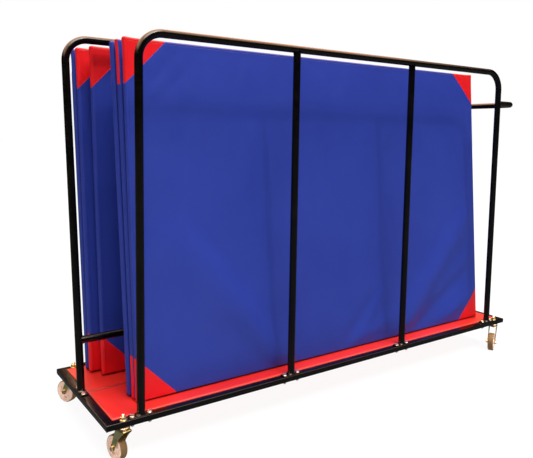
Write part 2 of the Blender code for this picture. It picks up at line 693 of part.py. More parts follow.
def fork_leg_outline():
    """Side view of a fork leg: broad at the crown, sweeping down to a round boss at the axle."""
    axle_u = TRAIL
    axle_w = AXLE_HEIGHT - CROWN_TOP
    leg_front = -CROWN_LEAD + LEG_SETBACK
    points = [(CROWN_TAIL, -CROWN_THICKNESS / 2), (leg_front, -CROWN_THICKNESS / 2)]
    start = Vector((leg_front, -CROWN_THICKNESS - LEG_FRONT_DROP))
    boss = [
        (axle_u + AXLE_BOSS_RADIUS * cos(angle), axle_w + AXLE_BOSS_RADIUS * sin(angle))
        for angle in (LEG_BOSS_START + pi * i / 6 for i in range(7))]
    finish = Vector(boss[0])
    pull = Vector(LEG_SWEEP_PULL)
    for i in range(5):
        share = i / 5
        point = start * (1 - share) ** 2 + pull * 2 * share * (1 - share) + finish * share ** 2
        points.append((point.x, point.y))
    points += boss
    return points


def fork_mesh():
    """Pressed fork: a crown plate with two legs, one solid; u runs along local X, the axle along local Y."""
    crown_half = FORK_OUTER - CROWN_SIDE_INSET
    crown = flat_plate(
        rounded_rectangle((-CROWN_LEAD, -crown_half), (CROWN_TAIL, crown_half), CROWN_CORNER_RADIUS),
        [circle(STEM_HOLE_RADIUS, sides=16)], CROWN_THICKNESS)
    crown.transform(Matrix.Translation((0, 0, CROWN_BOTTOM)))
    hole = circle(AXLE_BORE_RADIUS, (TRAIL, AXLE_HEIGHT - CROWN_TOP), 12)
    upright = Matrix.Rotation(pi / 2, 4, "X")
    legs = []
    for near_face in (-FORK_INNER, FORK_OUTER):
        leg = flat_plate(fork_leg_outline(), [hole], FORK_THICKNESS)
        leg.transform(Matrix.Translation((0, near_face, CROWN_TOP)) @ upright)
        legs.append(leg)
    return boolean_result(crown, legs, "UNION")


def axle_mesh():
    """Axle bolt across the fork, with its hexagon head and nut, along local Y."""
    face = FORK_OUTER + SEAT_GAP
    foot_y = -face - NUT_HEIGHT - AXLE_THREAD_END
    shank = rod(AXLE_RADIUS, face + BOLT_HEAD_HEIGHT / 2 - foot_y, (0, foot_y, 0), (0, 1, 0), sides=12)
    corner = BOLT_HEAD_ACROSS_FLATS / sqrt(3)
    head = rod(corner, BOLT_HEAD_HEIGHT, (0, face, 0), (0, 1, 0), sides=6)
    nut = rod(corner, NUT_HEIGHT, (0, -face - NUT_HEIGHT, 0), (0, 1, 0), sides=6)
    return boolean_result(shank, [head, nut], "UNION")


def wheel_centre_mesh():
    """Moulded centre: hub, web and rim, turned about local Z."""
    rim_outer = WHEEL_RADIUS - TYRE_THICKNESS - SEAT_GAP
    rim_inner = rim_outer - RIM_THICKNESS
    rim_half = WHEEL_WIDTH / 2 - RIM_INSET
    web_inner = HUB_RADIUS + WEB_DRAFT
    web_outer = rim_inner - WEB_DRAFT
    return turned([
        (AXLE_BORE_RADIUS, HUB_HALF), (HUB_RADIUS, HUB_HALF), (web_inner, WEB_HALF),
        (web_outer, WEB_HALF), (rim_inner, rim_half), (rim_outer, rim_half),
        (rim_outer, -rim_half), (rim_inner, -rim_half), (web_outer, -WEB_HALF),
        (web_inner, -WEB_HALF), (HUB_RADIUS, -HUB_HALF), (AXLE_BORE_RADIUS, -HUB_HALF)], 16)


def tyre_mesh():
    """Moulded tyre with rounded shoulders, turned about local Z."""
    half = WHEEL_WIDTH / 2
    inner = WHEEL_RADIUS - TYRE_THICKNESS
    profile = [(inner, half)]
    for side in (1, -1):
        for i in range(3):
            angle = (pi / 2) * (i / 2 if side == 1 else 1 - i / 2)
            profile.append((WHEEL_RADIUS - TYRE_EDGE_RADIUS * (1 - sin(angle)),
                            side * (half - TYRE_EDGE_RADIUS * (1 - cos(angle)))))
    profile.append((inner, -half))
    return turned(profile, 24)


fork_shape = fork_mesh()
axle_shape = axle_mesh()
wheel_centre_shape = wheel_centre_mesh()
tyre_shape = tyre_mesh()
for corner, (stem_x, stem_y) in STEM_PLACES.items():
    pivot = empty(f"caster_{corner}_pivot", (stem_x, stem_y, 0), radians(CASTER_HEADINGS[corner]))
    axle_place = empty(f"caster_{corner}_axle_place", (TRAIL, 0, AXLE_HEIGHT), parent=pivot)
    wheel_place = empty(f"caster_{corner}_wheel_place", (0, 0, 0), pi / 2, "X", parent=axle_place)
    piece(f"caster_{corner}_fork", fork_shape.copy(), YELLOW_ZINC, parent=pivot)
    piece(f"caster_{corner}_axle", axle_shape.copy(), ZINC, parent=axle_place)
    piece(f"caster_{corner}_wheel_centre", wheel_centre_shape.copy(), CREAM_PLASTIC, parent=wheel_place)
    piece(f"caster_{corner}_tyre", tyre_shape.copy(), TAN_RUBBER, parent=wheel_place)


# Mats: foam slabs in welded vinyl covers, standing on their long edges and leaning back
def mat_mesh():
    """Slab with slightly crowned faces; its lower back edge lies along local X at the rounding's centre."""
    edit = bmesh.new()
    bmesh.ops.create_cube(edit, size=1.0)
    for axis, cuts in ((0, MAT_COLUMNS - 1), (2, MAT_ROWS - 1)):
        along = [edge for edge in edit.edges if edge.verts[0].co[axis] != edge.verts[1].co[axis]]
        bmesh.ops.subdivide_edges(edit, edges=along, cuts=cuts, use_grid_fill=True)
    for vert in edit.verts:
        across, up = 2 * vert.co.x, 2 * vert.co.z
        swell = (1 - across ** 4) * (1 - up ** 4)
        depth = (MAT_THICKNESS / 2 - MAT_CROWN) + MAT_CROWN * swell
        side = 1 if vert.co.y > 0 else -1
        vert.co = ((across + 1) * MAT_LENGTH / 2,
                   side * depth + MAT_EDGE_RADIUS - (MAT_THICKNESS / 2 - MAT_CROWN),
                   (up + 1) * MAT_HEIGHT / 2 - MAT_EDGE_RADIUS)
    mesh = bpy.data.meshes.new("mat")
    edit.to_mesh(mesh)
    edit.free()
    return mesh


mat_shape = mat_mesh()
for hoop_line, mats in ((FRONT_LINE, FRONT_MATS), (MIDDLE_LINE, REAR_MATS)):
    mat_front = hoop_line + TUBE_RADIUS
    for name, left, gap, lean in mats:
        mat_front += gap
        back_edge = mat_front + (MAT_THICKNESS - 2 * MAT_CROWN) * cos(lean) - MAT_EDGE_RADIUS
        stand_height = DECK_TOP + SEAT_GAP + MAT_EDGE_RADIUS
        stand = empty(name + "_stand", (LEFT + left, back_edge, stand_height), -lean, "X")
        mat = piece(name, mat_shape.copy(), BLUE_VINYL, parent=stand)
        bevelled(mat, MAT_EDGE_RADIUS, 3)
        mat_front += MAT_THICKNESS
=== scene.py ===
"""Mat trolley: steel base on four swivel casters, three tube hoops, a push handle and six gym mats.

The script follows the trolley as it is put together. Lengths are metres, +X runs towards the push
handle, +Y from the front hoop to the rear hoop, +Z up, and the floor is at z = 0.
"""
import json
from math import atan2, cos, pi, radians, sin

import bmesh
import bpy
import numpy as np
from mathutils import Matrix, Vector


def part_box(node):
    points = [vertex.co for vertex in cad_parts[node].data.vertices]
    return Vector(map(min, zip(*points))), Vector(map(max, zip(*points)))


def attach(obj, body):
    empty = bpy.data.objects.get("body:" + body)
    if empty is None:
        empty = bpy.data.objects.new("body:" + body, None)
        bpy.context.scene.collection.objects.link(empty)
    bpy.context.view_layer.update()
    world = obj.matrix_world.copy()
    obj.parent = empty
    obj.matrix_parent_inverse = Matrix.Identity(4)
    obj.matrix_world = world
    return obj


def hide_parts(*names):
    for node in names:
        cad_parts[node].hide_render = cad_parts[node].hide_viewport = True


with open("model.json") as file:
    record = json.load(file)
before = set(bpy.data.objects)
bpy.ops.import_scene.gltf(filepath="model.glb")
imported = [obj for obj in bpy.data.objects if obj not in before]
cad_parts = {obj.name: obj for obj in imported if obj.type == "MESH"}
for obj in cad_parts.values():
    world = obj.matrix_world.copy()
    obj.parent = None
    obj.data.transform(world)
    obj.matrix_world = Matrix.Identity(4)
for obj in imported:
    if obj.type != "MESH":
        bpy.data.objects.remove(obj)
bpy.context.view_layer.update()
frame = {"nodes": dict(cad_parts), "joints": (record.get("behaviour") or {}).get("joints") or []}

# Camera: stands in front of the trolley's left half, a little above the middle of the mats, and
# looks along the length. Its focal length and shift are those of the photograph's frame, 533 x 458.
PICTURE_WIDTH, FOCAL_PIXELS = 533, 593.7774
SENSOR_WIDTH = 36.0
CAMERA_PLACE = (-1.6544, -2.0312, 1.0510)
yaw, pitch, roll = 0.6036, 0.1012, 0.0140
ahead = Vector((sin(yaw) * cos(pitch), cos(yaw) * cos(pitch), -sin(pitch)))
level = Vector((cos(yaw), -sin(yaw), 0.0))
upward = level.cross(ahead)
picture_right = cos(roll) * level + sin(roll) * upward
picture_up = -sin(roll) * level + cos(roll) * upward


def put(name, data):
    """Object of a camera, light or mesh, linked to the scene."""
    made = bpy.data.objects.new(name, data)
    bpy.context.scene.collection.objects.link(made)
    return made


lens = bpy.data.cameras.new("camera")
lens.sensor_width = SENSOR_WIDTH
lens.lens = FOCAL_PIXELS * SENSOR_WIDTH / PICTURE_WIDTH
lens.shift_x = 0.007724
lens.shift_y = -0.062828
lens.clip_end = 200.0
camera = put("camera", lens)
camera_turn = Matrix((picture_right, picture_up, -ahead)).transposed().to_4x4()
camera.matrix_world = Matrix.Translation(CAMERA_PLACE) @ camera_turn
bpy.context.scene.camera = camera
bpy.context.scene.view_settings.view_transform = "Standard"

# Studio: a pale floor lit from within like a photographer's light table, and a white surround. Two
# far lights come from high in front, and a lamp stands at the left. A warm screen overhead shows
# only in shiny surfaces, where it draws the lines along the tubes.
STUDIO_WHITE, SURROUND_LIGHT, MIRRORED_SHARE = 1.0, 0.18, 0.1
SCREEN_LIGHT, SCREEN_COLOUR = 6.5, (1.0, 0.56, 0.34, 1.0)
# Where the screen fades in on each axis of the way that a ray leaves in
SCREEN_EDGES = (("X", 0.84, 0.62), ("Y", -0.75, -0.40), ("Z", 0.40, 0.60))
FLOOR_GLOW, FLOOR_HALF = 0.93, 60


def node(made, kind, inputs=None, **settings):
    """Adds a node to a material or world; inputs may be values or sockets of other nodes."""
    added = made.node_tree.nodes.new(kind)
    for name, value in settings.items():
        setattr(added, name, value)
    for name, value in (inputs or {}).items():
        if isinstance(value, bpy.types.NodeSocket):
            made.node_tree.links.new(value, added.inputs[name])
        else:
            added.inputs[name].default_value = value
    return added


def work(made, operation, *values):
    """Result of one step of arithmetic on values or sockets."""
    return node(made, "ShaderNodeMath", dict(enumerate(values)), operation=operation).outputs["Value"]


def ranged(made, value, low=0.0, high=1.0, to_low=0.0, to_high=1.0, smooth=False):
    """Value carried from one range to another and held at its ends, in a straight line or smoothly."""
    ends = {"Value": value, "From Min": low, "From Max": high, "To Min": to_low, "To Max": to_high}
    kind = "SMOOTHSTEP" if smooth else "LINEAR"
    return node(made, "ShaderNodeMapRange", ends, interpolation_type=kind).outputs["Result"]


def feed(target, **outputs):
    """Links outputs to the sockets of a node that have their names."""
    for socket, output in outputs.items():
        target.id_data.links.new(output, target.inputs[socket.replace("_", " ")])


def finish(name, colour, roughness, metallic=0.0, **sockets):
    """Principled material with plain values on the shader's own sockets."""
    made = bpy.data.materials.new(name)
    made.use_nodes = True
    shader = made.node_tree.nodes["Principled BSDF"]
    shader.inputs["Base Color"].default_value = (*colour, 1.0)
    shader.inputs["Roughness"].default_value = roughness
    shader.inputs["Metallic"].default_value = metallic
    for socket, value in sockets.items():
        shader.inputs[socket.replace("_", " ")].default_value = value
    return made, shader


world = bpy.data.worlds.new("studio")
bpy.context.scene.world = world
world.use_nodes = True
surround = world.node_tree.nodes["Background"]
surround.inputs["Color"].default_value = (1.0, 1.0, 1.0, 1.0)
rays = node(world, "ShaderNodeLightPath")
seen = ranged(world, rays.outputs["Is Camera Ray"], to_low=SURROUND_LIGHT, to_high=STUDIO_WHITE)
mirrored = ranged(world, rays.outputs["Is Glossy Ray"], to_low=1.0, to_high=MIRRORED_SHARE)
feed(surround, Strength=work(world, "MULTIPLY", seen, mirrored))
sky_place = node(world, "ShaderNodeTexCoord").outputs["Generated"]
sky_way = node(world, "ShaderNodeSeparateXYZ", {"Vector": sky_place})
screen = rays.outputs["Is Glossy Ray"]
for axis, start, end in SCREEN_EDGES:
    screen = work(world, "MULTIPLY", screen, ranged(world, sky_way.outputs[axis], start, end, smooth=True))
screen_light = node(world, "ShaderNodeBackground",
                    {"Color": SCREEN_COLOUR, "Strength": work(world, "MULTIPLY", screen, SCREEN_LIGHT)})
both = node(world, "ShaderNodeAddShader",
            {0: surround.outputs["Background"], 1: screen_light.outputs["Background"]})
feed(world.node_tree.nodes["World Output"], Surface=both.outputs["Shader"])

floor_paint, shader = finish("studio_floor", (0.10, 0.10, 0.10), 0.9, Specular_IOR_Level=0.0,
                             Emission_Color=(1.0, 1.0, 1.0, 1.0), Emission_Strength=FLOOR_GLOW)
floor_rays = node(floor_paint, "ShaderNodeLightPath").outputs["Is Glossy Ray"]
feed(shader, Emission_Strength=ranged(floor_paint, floor_rays, to_low=FLOOR_GLOW, to_high=0.0))
floor_mesh = bpy.data.meshes.new("studio_floor")
floor_corners = [(x * FLOOR_HALF, y * FLOOR_HALF, 0) for x, y in ((-1, -1), (1, -1), (1, 1), (-1, 1))]
floor_mesh.from_pydata(floor_corners, [], [(0, 1, 2, 3)])
floor_mesh.materials.append(floor_paint)
put("studio_floor", floor_mesh)


def far_light(name, way, energy, spread):
    """Even light from one direction, whose shadows are softer the wider its spread in degrees."""
    light = bpy.data.lights.new(name, "SUN")
    light.energy = energy
    light.angle = radians(spread)
    put(name, light).rotation_euler = Vector(way).to_track_quat("-Z", "Y").to_euler()


far_light("soft_light", (0.05, 1.0, -2.5), 4.3, 45.0)
far_light("front_light", (-0.27, 1.0, -1.5), 0.55, 4.0)

SIDE_LAMP_PLACE, SIDE_LAMP_AIM = Vector((-3.2, -0.8, 0.5)), Vector((-1.0, 0.0, 0.4))
side_light = bpy.data.lights.new("side_lamp", "AREA")
side_light.shape = "RECTANGLE"
side_light.size, side_light.size_y = 1.2, 1.0
side_light.energy = 7.0
side_light.color = (1.0, 0.93, 0.88)
side_lamp = put("side_lamp", side_light)
side_lamp.location = SIDE_LAMP_PLACE
side_lamp.rotation_euler = (SIDE_LAMP_AIM - SIDE_LAMP_PLACE).to_track_quat("-Z", "Y").to_euler()
side_lamp.visible_glossy = False

# Base frame: rectangular steel tube 30 x 20 mm, mitred and welded into one loop round the deck,
# ground, and sprayed semi-gloss black. It is one swept surface that replaces the four rails.
frame_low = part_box("rail_front")[0]
frame_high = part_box("rail_rear")[1]
LEFT, FRONT, RAIL_BOTTOM = frame_low
RIGHT, REAR, RAIL_TOP = frame_high
RAIL_WIDTH, RAIL_EDGE = 0.030, 0.0022
WELD_HALF = 0.0016


def skin(rows, capped=True, looped=False):
    """Surface over an array of rows of points (row, point, xyz).

    Point j of row i is joined to point j of row i + 1 and to point j + 1 of its own row, and the
    last point of a row to its first. With capped, the first and last rows are closed by a fan of
    triangles to their own middle; with looped, the last row is joined to the first instead.
    """
    rows = np.asarray(rows, float)
    count, width, _ = rows.shape
    index = np.arange(count * width).reshape(count, width)
    beside = np.roll(index, -1, axis=1)
    low, high = (slice(None), np.roll(np.arange(count), -1)) if looped else (slice(0, -1), slice(1, None))
    quads = np.stack([index[low], beside[low], beside[high], index[high]], axis=-1).reshape(-1, 4)
    points, faces = rows.reshape(-1, 3), quads.tolist()
    if capped and not looped:
        first, last = count * width, count * width + 1
        points = np.vstack([points, rows[0].mean(axis=0), rows[-1].mean(axis=0)])
        faces += np.stack([np.full(width, first), beside[0], index[0]], axis=-1).tolist()
        faces += np.stack([np.full(width, last), index[-1], beside[-1]], axis=-1).tolist()
    return points, faces


def face_outwards(mesh, weld=False):
    """Turns all faces of closed shapes outwards. With weld, borders that lie on each other are joined."""
    edit = bmesh.new()
    edit.from_mesh(mesh)
    if weld:
        bmesh.ops.remove_doubles(edit, verts=edit.verts, dist=0.000005)
    bmesh.ops.recalc_face_normals(edit, faces=edit.faces)
    edit.to_mesh(mesh)
    edit.free()


def piece(name, shapes, finishes, body, nodes=None, sharp=40.0, marks=None, weld=False):
    """Mesh object of one or more closed shapes that rides on a body and stands for CAD nodes.

    Its points are world places, so the object stays at the origin. finishes is one material, or
    one for each shape. nodes are the CAD nodes it stands for, where that isn't the one of its own
    name. marks maps an attribute's name to its value at every point.
    """
    points, faces, slots = [], [], []
    for number, (shape_points, shape_faces) in enumerate(shapes):
        start = sum(len(group) for group in points)
        points.append(shape_points)
        faces += [[start + corner for corner in face] for face in shape_faces]
        slots += [number] * len(shape_faces)
    mesh = bpy.data.meshes.new(name)
    mesh.from_pydata(np.vstack(points).tolist(), [], faces)
    if isinstance(finishes, (list, tuple)):
        different = list(dict.fromkeys(finishes))
        for made in different:
            mesh.materials.append(made)
        mesh.polygons.foreach_set("material_index", [different.index(finishes[number]) for number in slots])
    else:
        mesh.materials.append(finishes)
    for mark, values in (marks or {}).items():
        kind = "FLOAT_VECTOR" if values.ndim == 2 else "FLOAT"
        layer = mesh.attributes.new(mark, kind, "POINT")
        layer.data.foreach_set("vector" if values.ndim == 2 else "value", values.astype(np.float32).ravel())
    face_outwards(mesh, weld)
    mesh.shade_smooth()
    mesh.set_sharp_from_angle(angle=radians(sharp))
    made = put(name, mesh)
    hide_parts(*(nodes or [name]))
    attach(made, body)
    return made


def rounded_outline(half_x, half_y, radius, steps=5):
    """Points of a rectangle about the origin whose corners are quarter circles, counterclockwise."""
    angles = np.linspace(0.0, pi / 2, steps)
    quarters = []
    for turn, (side_x, side_y) in enumerate(((1, 1), (-1, 1), (-1, -1), (1, -1))):
        angle = angles + turn * pi / 2
        quarters.append(np.stack([side_x * (half_x - radius) + radius * np.cos(angle),
                                  side_y * (half_y - radius) + radius * np.sin(angle)], axis=-1))
    return np.vstack(quarters)


def full_turn(sides):
    """Angles of a full turn in equal steps."""
    return np.linspace(0.0, 2 * pi, sides, endpoint=False)


def swept(path, first, second, radius, sides, looped=False):
    """Circle carried along a path: its points are path + radius (first cos(a) + second sin(a))."""
    turn = full_turn(sides)[None, :, None]
    ring = first[:, None] * np.cos(turn) + second[:, None] * np.sin(turn)
    return skin(path[:, None] + radius[:, None, None] * ring, looped=looped)


def bead(path, radius, inward, closed=True, ripples=0, sides=10):
    """Weld bead: a circle of small radius carried along a path, with soft ripples along it.

    At each point the circle is spanned by the inward direction, made square to the path, and by
    the path's direction x that. The radius is radius * (1 + 0.12 cos(ripples * share of the path)).
    """
    path = np.asarray(path, float)
    if closed:
        along = np.roll(path, -1, axis=0) - np.roll(path, 1, axis=0)
    else:
        along = np.gradient(path, axis=0)
    along /= np.linalg.norm(along, axis=1, keepdims=True)
    inward = np.broadcast_to(np.asarray(inward, float), path.shape)
    first = inward - (inward * along).sum(axis=1, keepdims=True) * along
    first = first / np.linalg.norm(first, axis=1, keepdims=True)
    second = np.cross(along, first)
    share = np.linspace(0.0, 2 * pi, len(path), endpoint=not closed)
    size = radius * (1.0 + 0.12 * np.cos(ripples * share))
    return swept(path, first, second, size, sides, looped=closed)


def noise(made, scale, detail, stretch=None, **sockets):
    """Noise on a piece's own coordinates, drawn out where a scale is given for each axis."""
    place = node(made, "ShaderNodeTexCoord").outputs["Object"]
    if stretch is not None:
        place = node(made, "ShaderNodeMapping", {"Vector": place, "Scale": stretch}).outputs["Vector"]
    return node(made, "ShaderNodeTexNoise",
                {"Vector": place, "Scale": scale, "Detail": detail, **sockets}).outputs["Fac"]


def tones(made, value, *stops):
    """Colour by a value: each stop is a position and its colour, from the lowest position up."""
    ramp = node(made, "ShaderNodeValToRGB", {"Fac": value})
    elements = ramp.color_ramp.elements
    for element, (position, colour) in zip(list(elements), (stops[0], stops[-1])):
        element.position, element.color = position, (*colour, 1.0)
    for position, colour in stops[1:-1]:
        elements.new(position).color = (*colour, 1.0)
    return ramp.outputs["Color"]


def relief(made, height, strength, distance, under=None):
    """Bump of a pattern, laid over another bump where one is given."""
    bump = node(made, "ShaderNodeBump", {"Height": height, "Strength": strength, "Distance": distance})
    if under is not None:
        feed(bump, Normal=under)
    return bump.outputs["Normal"]


black_paint, shader = finish("black_paint", (0.002, 0.002, 0.0015), 0.3, IOR=1.4, Specular_IOR_Level=0.5)
dust = noise(black_paint, 7.0, 8.0, Roughness=0.7)
gloss = noise(black_paint, 60.0, 4.0)
peel = noise(black_paint, 700.0, 2.0)
feed(shader, Roughness=ranged(black_paint, gloss, 0.3, 0.7, 0.16, 0.26),
     Base_Color=tones(black_paint, dust, (0.45, (0.0006, 0.0006, 0.0004)), (0.85, (0.0050, 0.0042, 0.0030))),
     Normal=relief(black_paint, peel, 0.25, 0.0001))

profile = rounded_outline(RAIL_WIDTH / 2, (RAIL_TOP - RAIL_BOTTOM) / 2, RAIL_EDGE)
inset = profile[:, 0] + RAIL_WIDTH / 2
height = profile[:, 1] + (RAIL_TOP + RAIL_BOTTOM) / 2
corner_places = ((LEFT + inset, FRONT + inset), (RIGHT - inset, FRONT + inset),
                 (RIGHT - inset, REAR - inset), (LEFT + inset, REAR - inset))
frame_corners = [np.stack([corner_x, corner_y, height], axis=-1) for corner_x, corner_y in corner_places]
rail_shapes = [skin(frame_corners, looped=True)]
share = np.linspace(0.08, 0.97, 30)[:, None]
for corner_x, side_x in ((LEFT, 1), (RIGHT, -1)):
    for corner_y, side_y in ((FRONT, 1), (REAR, -1)):
        diagonal = np.array([side_x * RAIL_WIDTH, side_y * RAIL_WIDTH, 0.0])
        under = np.array([corner_x, corner_y, RAIL_BOTTOM]) + share * diagonal
        rail_shapes.append(bead(under, WELD_HALF, (0, 0, 1), closed=False, ripples=14))
        upright = np.array([corner_x, corner_y, RAIL_BOTTOM + 0.001]) + diagonal
        rise = upright + share * np.array([0.0, 0.0, RAIL_TOP - RAIL_BOTTOM - 0.012])
        rail_shapes.append(bead(rise, WELD_HALF, (side_x, side_y, 0), closed=False, ripples=10))
piece("base_frame", rail_shapes, black_paint, "frame",
      nodes=["rail_front", "rail_rear", "rail_left", "rail_right"])

# Cross bearers: four flat steel bars welded between the long rails, painted with the frame. Their
# solids have the right form, so they keep it and take the frame's paint.
for number in range(1, 5):
    bearer = frame["nodes"][f"deck_bearer_{number}"]
    bearer.data.materials.clear()
    bearer.data.materials.append(black_paint)

# Deck: two boards painted red on all sides, let into the frame and screwed to the bearers from
# below. Their edges are rounded over by hand. A painted highlight lightens their outer edges, and
# painted shade darkens their edges along the joint between the two boards.
BOARD_EDGE, BOARD_CORNER, CAP_INSET, RIM_BAND = 0.0018, 0.002, 0.012, 0.004


def mixed(made, share, first, second):
    """Colour that goes from the first to the second as the share goes from 0 to 1."""
    return node(made, "ShaderNodeMix", {"Factor": share, "A": first, "B": second},
                data_type="RGBA").outputs["Result"]


red_paint, shader = finish("red_board_paint", (0.80, 0.028, 0.022), 0.42, Coat_Weight=0.12,
                           Coat_Roughness=0.2)
patches = noise(red_paint, 2.3, 3.0)
colour = tones(red_paint, patches, (0.3, (0.55, 0.011, 0.009)), (0.7, (0.68, 0.022, 0.016)))
# rim is a painted highlight on the boards' outer edges; seam is painted shade on their edges at the joint
for mark, painted_light_tint in (("rim", (0.85, 0.07, 0.045, 1.0)), ("seam", (0.045, 0.004, 0.003, 1.0))):
    share = node(red_paint, "ShaderNodeAttribute", attribute_name=mark).outputs["Fac"]
    colour = mixed(red_paint, share, colour, painted_light_tint)
grain = noise(red_paint, 9.0, 9.0, stretch=(1.2, 14.0, 14.0), Roughness=0.65)
feed(shader, Base_Color=colour, Normal=relief(red_paint, grain, 0.3, 0.0004))

for name in ("deck_board_front", "deck_board_rear"):
    low, high = (np.array(corner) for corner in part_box(name))
    half, middle = (high - low) / 2, (high + low) / 2
    turn = np.linspace(0.0, pi / 2, 5)
    rise, pull = BOARD_EDGE * (1 - np.cos(turn)), BOARD_EDGE * (1 - np.sin(turn))
    levels = np.concatenate([[-half[2]], -half[2] + rise, half[2] - rise[::-1], [half[2]]])
    inward = np.concatenate([[CAP_INSET], pull, pull[::-1], [CAP_INSET]])
    rows = []
    for level_z, inset_xy in zip(levels, inward):
        outline = rounded_outline(half[0] - inset_xy, half[1] - inset_xy, BOARD_CORNER)
        rows.append(np.column_stack([outline, np.full(len(outline), level_z)]) + middle)
    points, faces = skin(rows)
    # Marks for the painted highlight on the outer edges and the painted shade at the joint between boards
    seam_y = high[1] if name == "deck_board_front" else low[1]
    outer = np.clip((np.abs(points[:, 1] - seam_y) - RIM_BAND) / RIM_BAND, 0.0, 1.0)
    row_share = np.clip(1.0 - inward / RIM_BAND, 0.0, 1.0)
    rim_share = np.concatenate([np.repeat(row_share, len(rows[0])), [0.0, 0.0]])
    piece(name, [(points, faces)], red_paint, "frame",
          marks={"rim": rim_share * outer, "seam": rim_share * (1.0 - outer)})

# Hoops and bars: steel tube 26.9 mm, cold-bent, sprayed semi-gloss black. Each leg stands on a
# bolted plate with a fillet weld round its foot, and bars are coped and welded to the tube above.
TUBE = 0.01343
PLATE_TOP = RAIL_TOP + 0.0043
BEND = 0.080
RAKE = radians(5.55)
HOOP_HEIGHT, MIDDLE_HOOP_HEIGHT = 1.2155, 1.2388
MIDDLE_HOOP_BACK, HOOP_INSET = 0.293, 0.121
FRONT_LINE, REAR_LINE = FRONT + RAIL_WIDTH / 2, REAR - RAIL_WIDTH / 2
MIDDLE_LINE = FRONT + MIDDLE_HOOP_BACK
HOOP_MIDDLE = (LEFT + RIGHT) / 2
HOOP_HALF = HOOP_MIDDLE - (LEFT + HOOP_INSET)
MIDDLE_HALF = HOOP_MIDDLE - (LEFT + RAIL_WIDTH / 2)
BAR_OFFSET = HOOP_HALF / 3
WELD, WELD_REACH = 0.0040, 0.0137
# How high over the rail a tube starts, how far a coped end reaches into a leg, and how far a bar
# stops short of its hoop's centre line
TUBE_FOOT, COPE_DEPTH, BAR_SHORT = 0.0028, 0.004, 0.003


def tube(path, across, radius=TUBE, sides=36):
    """Round tube along a path that lies in one plane.

    At each point a circle is spanned by the plane's unit normal and by the path's direction x that
    normal; the direction at a point is the mean of the two stretches that meet there.
    """
    path = np.asarray(path, float)
    steps = np.diff(path, axis=0)
    steps /= np.linalg.norm(steps, axis=1, keepdims=True)
    along = np.vstack([steps[:1], steps[:-1] + steps[1:], steps[-1:]])
    along /= np.linalg.norm(along, axis=1, keepdims=True)
    across = np.broadcast_to(np.asarray(across, float), path.shape)
    return swept(path, across, np.cross(along, across), np.full(len(path), radius), sides)


def leaning(points, line_y, rake):
    """Takes (x, leg) pairs of a hoop's plane to the world: y = line + leg sin, z = rail + leg cos."""
    x, leg = np.asarray(points, float).T
    return np.stack([x, line_y + leg * sin(rake), RAIL_TOP + leg * cos(rake)], axis=-1)


def arc(centre, radius, start, end, steps=18):
    """Points of a circular arc in a plane, from one angle to another in degrees."""
    angle = np.radians(np.linspace(start, end, steps))
    return np.stack([centre[0] + radius * np.cos(angle), centre[1] + radius * np.sin(angle)], axis=-1)


def hoop_shapes(line_y, half, height, rake):
    """Legs, two quarter bends and top tube, with a weld collar at each foot."""
    left, right = HOOP_MIDDLE - half, HOOP_MIDDLE + half
    line = np.vstack([
        [(left, TUBE_FOOT), (left, height / 2)],
        arc((left + BEND, height - BEND), BEND, 180, 90),
        arc((right - BEND, height - BEND), BEND, 90, 0),
        [(right, height / 2), (right, TUBE_FOOT)]])
    across = (0.0, cos(rake), -sin(rake))
    shapes = [tube(leaning(line, line_y, rake), across)]
    return shapes + [foot_weld(x, line_y, rake, half != MIDDLE_HALF) for x in (left, right)]


def foot_weld(x, line_y, rake, along_x=True, sides=72):
    """Fillet weld round a tube's foot: rows of circles that swell from the tube to the plate.

    The circle's radius at each level is that of the fillet's curve, times 1 + 0.012 cos(26 angle)
    for the ripples of the weld. Across the plate it ends just inside the plate's edges.
    """
    turn = full_turn(sides)
    levels = np.array([-0.0006, 0.0003, 0.0014, 0.0027, WELD, WELD + 0.0002])
    radii = TUBE + np.array([WELD, WELD, 0.0024, 0.0011, 0.0002, -0.0010])
    ripple = 1.0 + 0.012 * np.cos(26 * turn)[None, :] * (radii[:, None] > TUBE + 0.0005)
    radius = radii[:, None] * ripple
    lean = (PLATE_TOP - RAIL_TOP + levels[:, None]) * sin(rake)
    reach_x, reach_y = radius * np.cos(turn), radius * np.sin(turn)
    if along_x:
        reach_y = np.clip(reach_y, -WELD_REACH, WELD_REACH)
    else:
        reach_x = np.clip(reach_x, -WELD_REACH, WELD_REACH)
    rows = np.stack([x + reach_x, line_y + lean + reach_y,
                     np.broadcast_to(PLATE_TOP + levels[:, None], radius.shape)], axis=-1)
    return skin(rows)


def cope_weld(centre, outward, along):
    """Weld round a tube coped to another of the same size.

    The seam is centre + along R cos(a) + (outward x along) 0.94 R sin(a) + outward R |cos(a)|, and
    its bead thins out to a third where the two tubes are tangent.
    """
    outward, along = np.asarray(outward, float), np.asarray(along, float)
    turn = full_turn(96)[:, None]
    radial = along * np.cos(turn) + np.cross(outward, along) * 0.94 * np.sin(turn)
    path = np.asarray(centre, float) + TUBE * radial + outward * TUBE * np.abs(np.cos(turn))
    return bead(path, 0.0007 + 0.0013 * np.abs(np.cos(turn[:, 0])), radial, ripples=24)


def bar_shapes(x, line_y, height, rake):
    """Upright bar from its foot plate into the underside of the hoop's top tube."""
    line = [(x, TUBE_FOOT), (x, height / 2), (x, height - BAR_SHORT)]
    leg = np.array([0.0, sin(rake), cos(rake)])
    top = leaning([(x, height)], line_y, rake)[0]
    return [tube(leaning(line, line_y, rake), (0.0, cos(rake), -sin(rake))),
            foot_weld(x, line_y, rake), cope_weld(top, -leg, (1.0, 0.0, 0.0))]


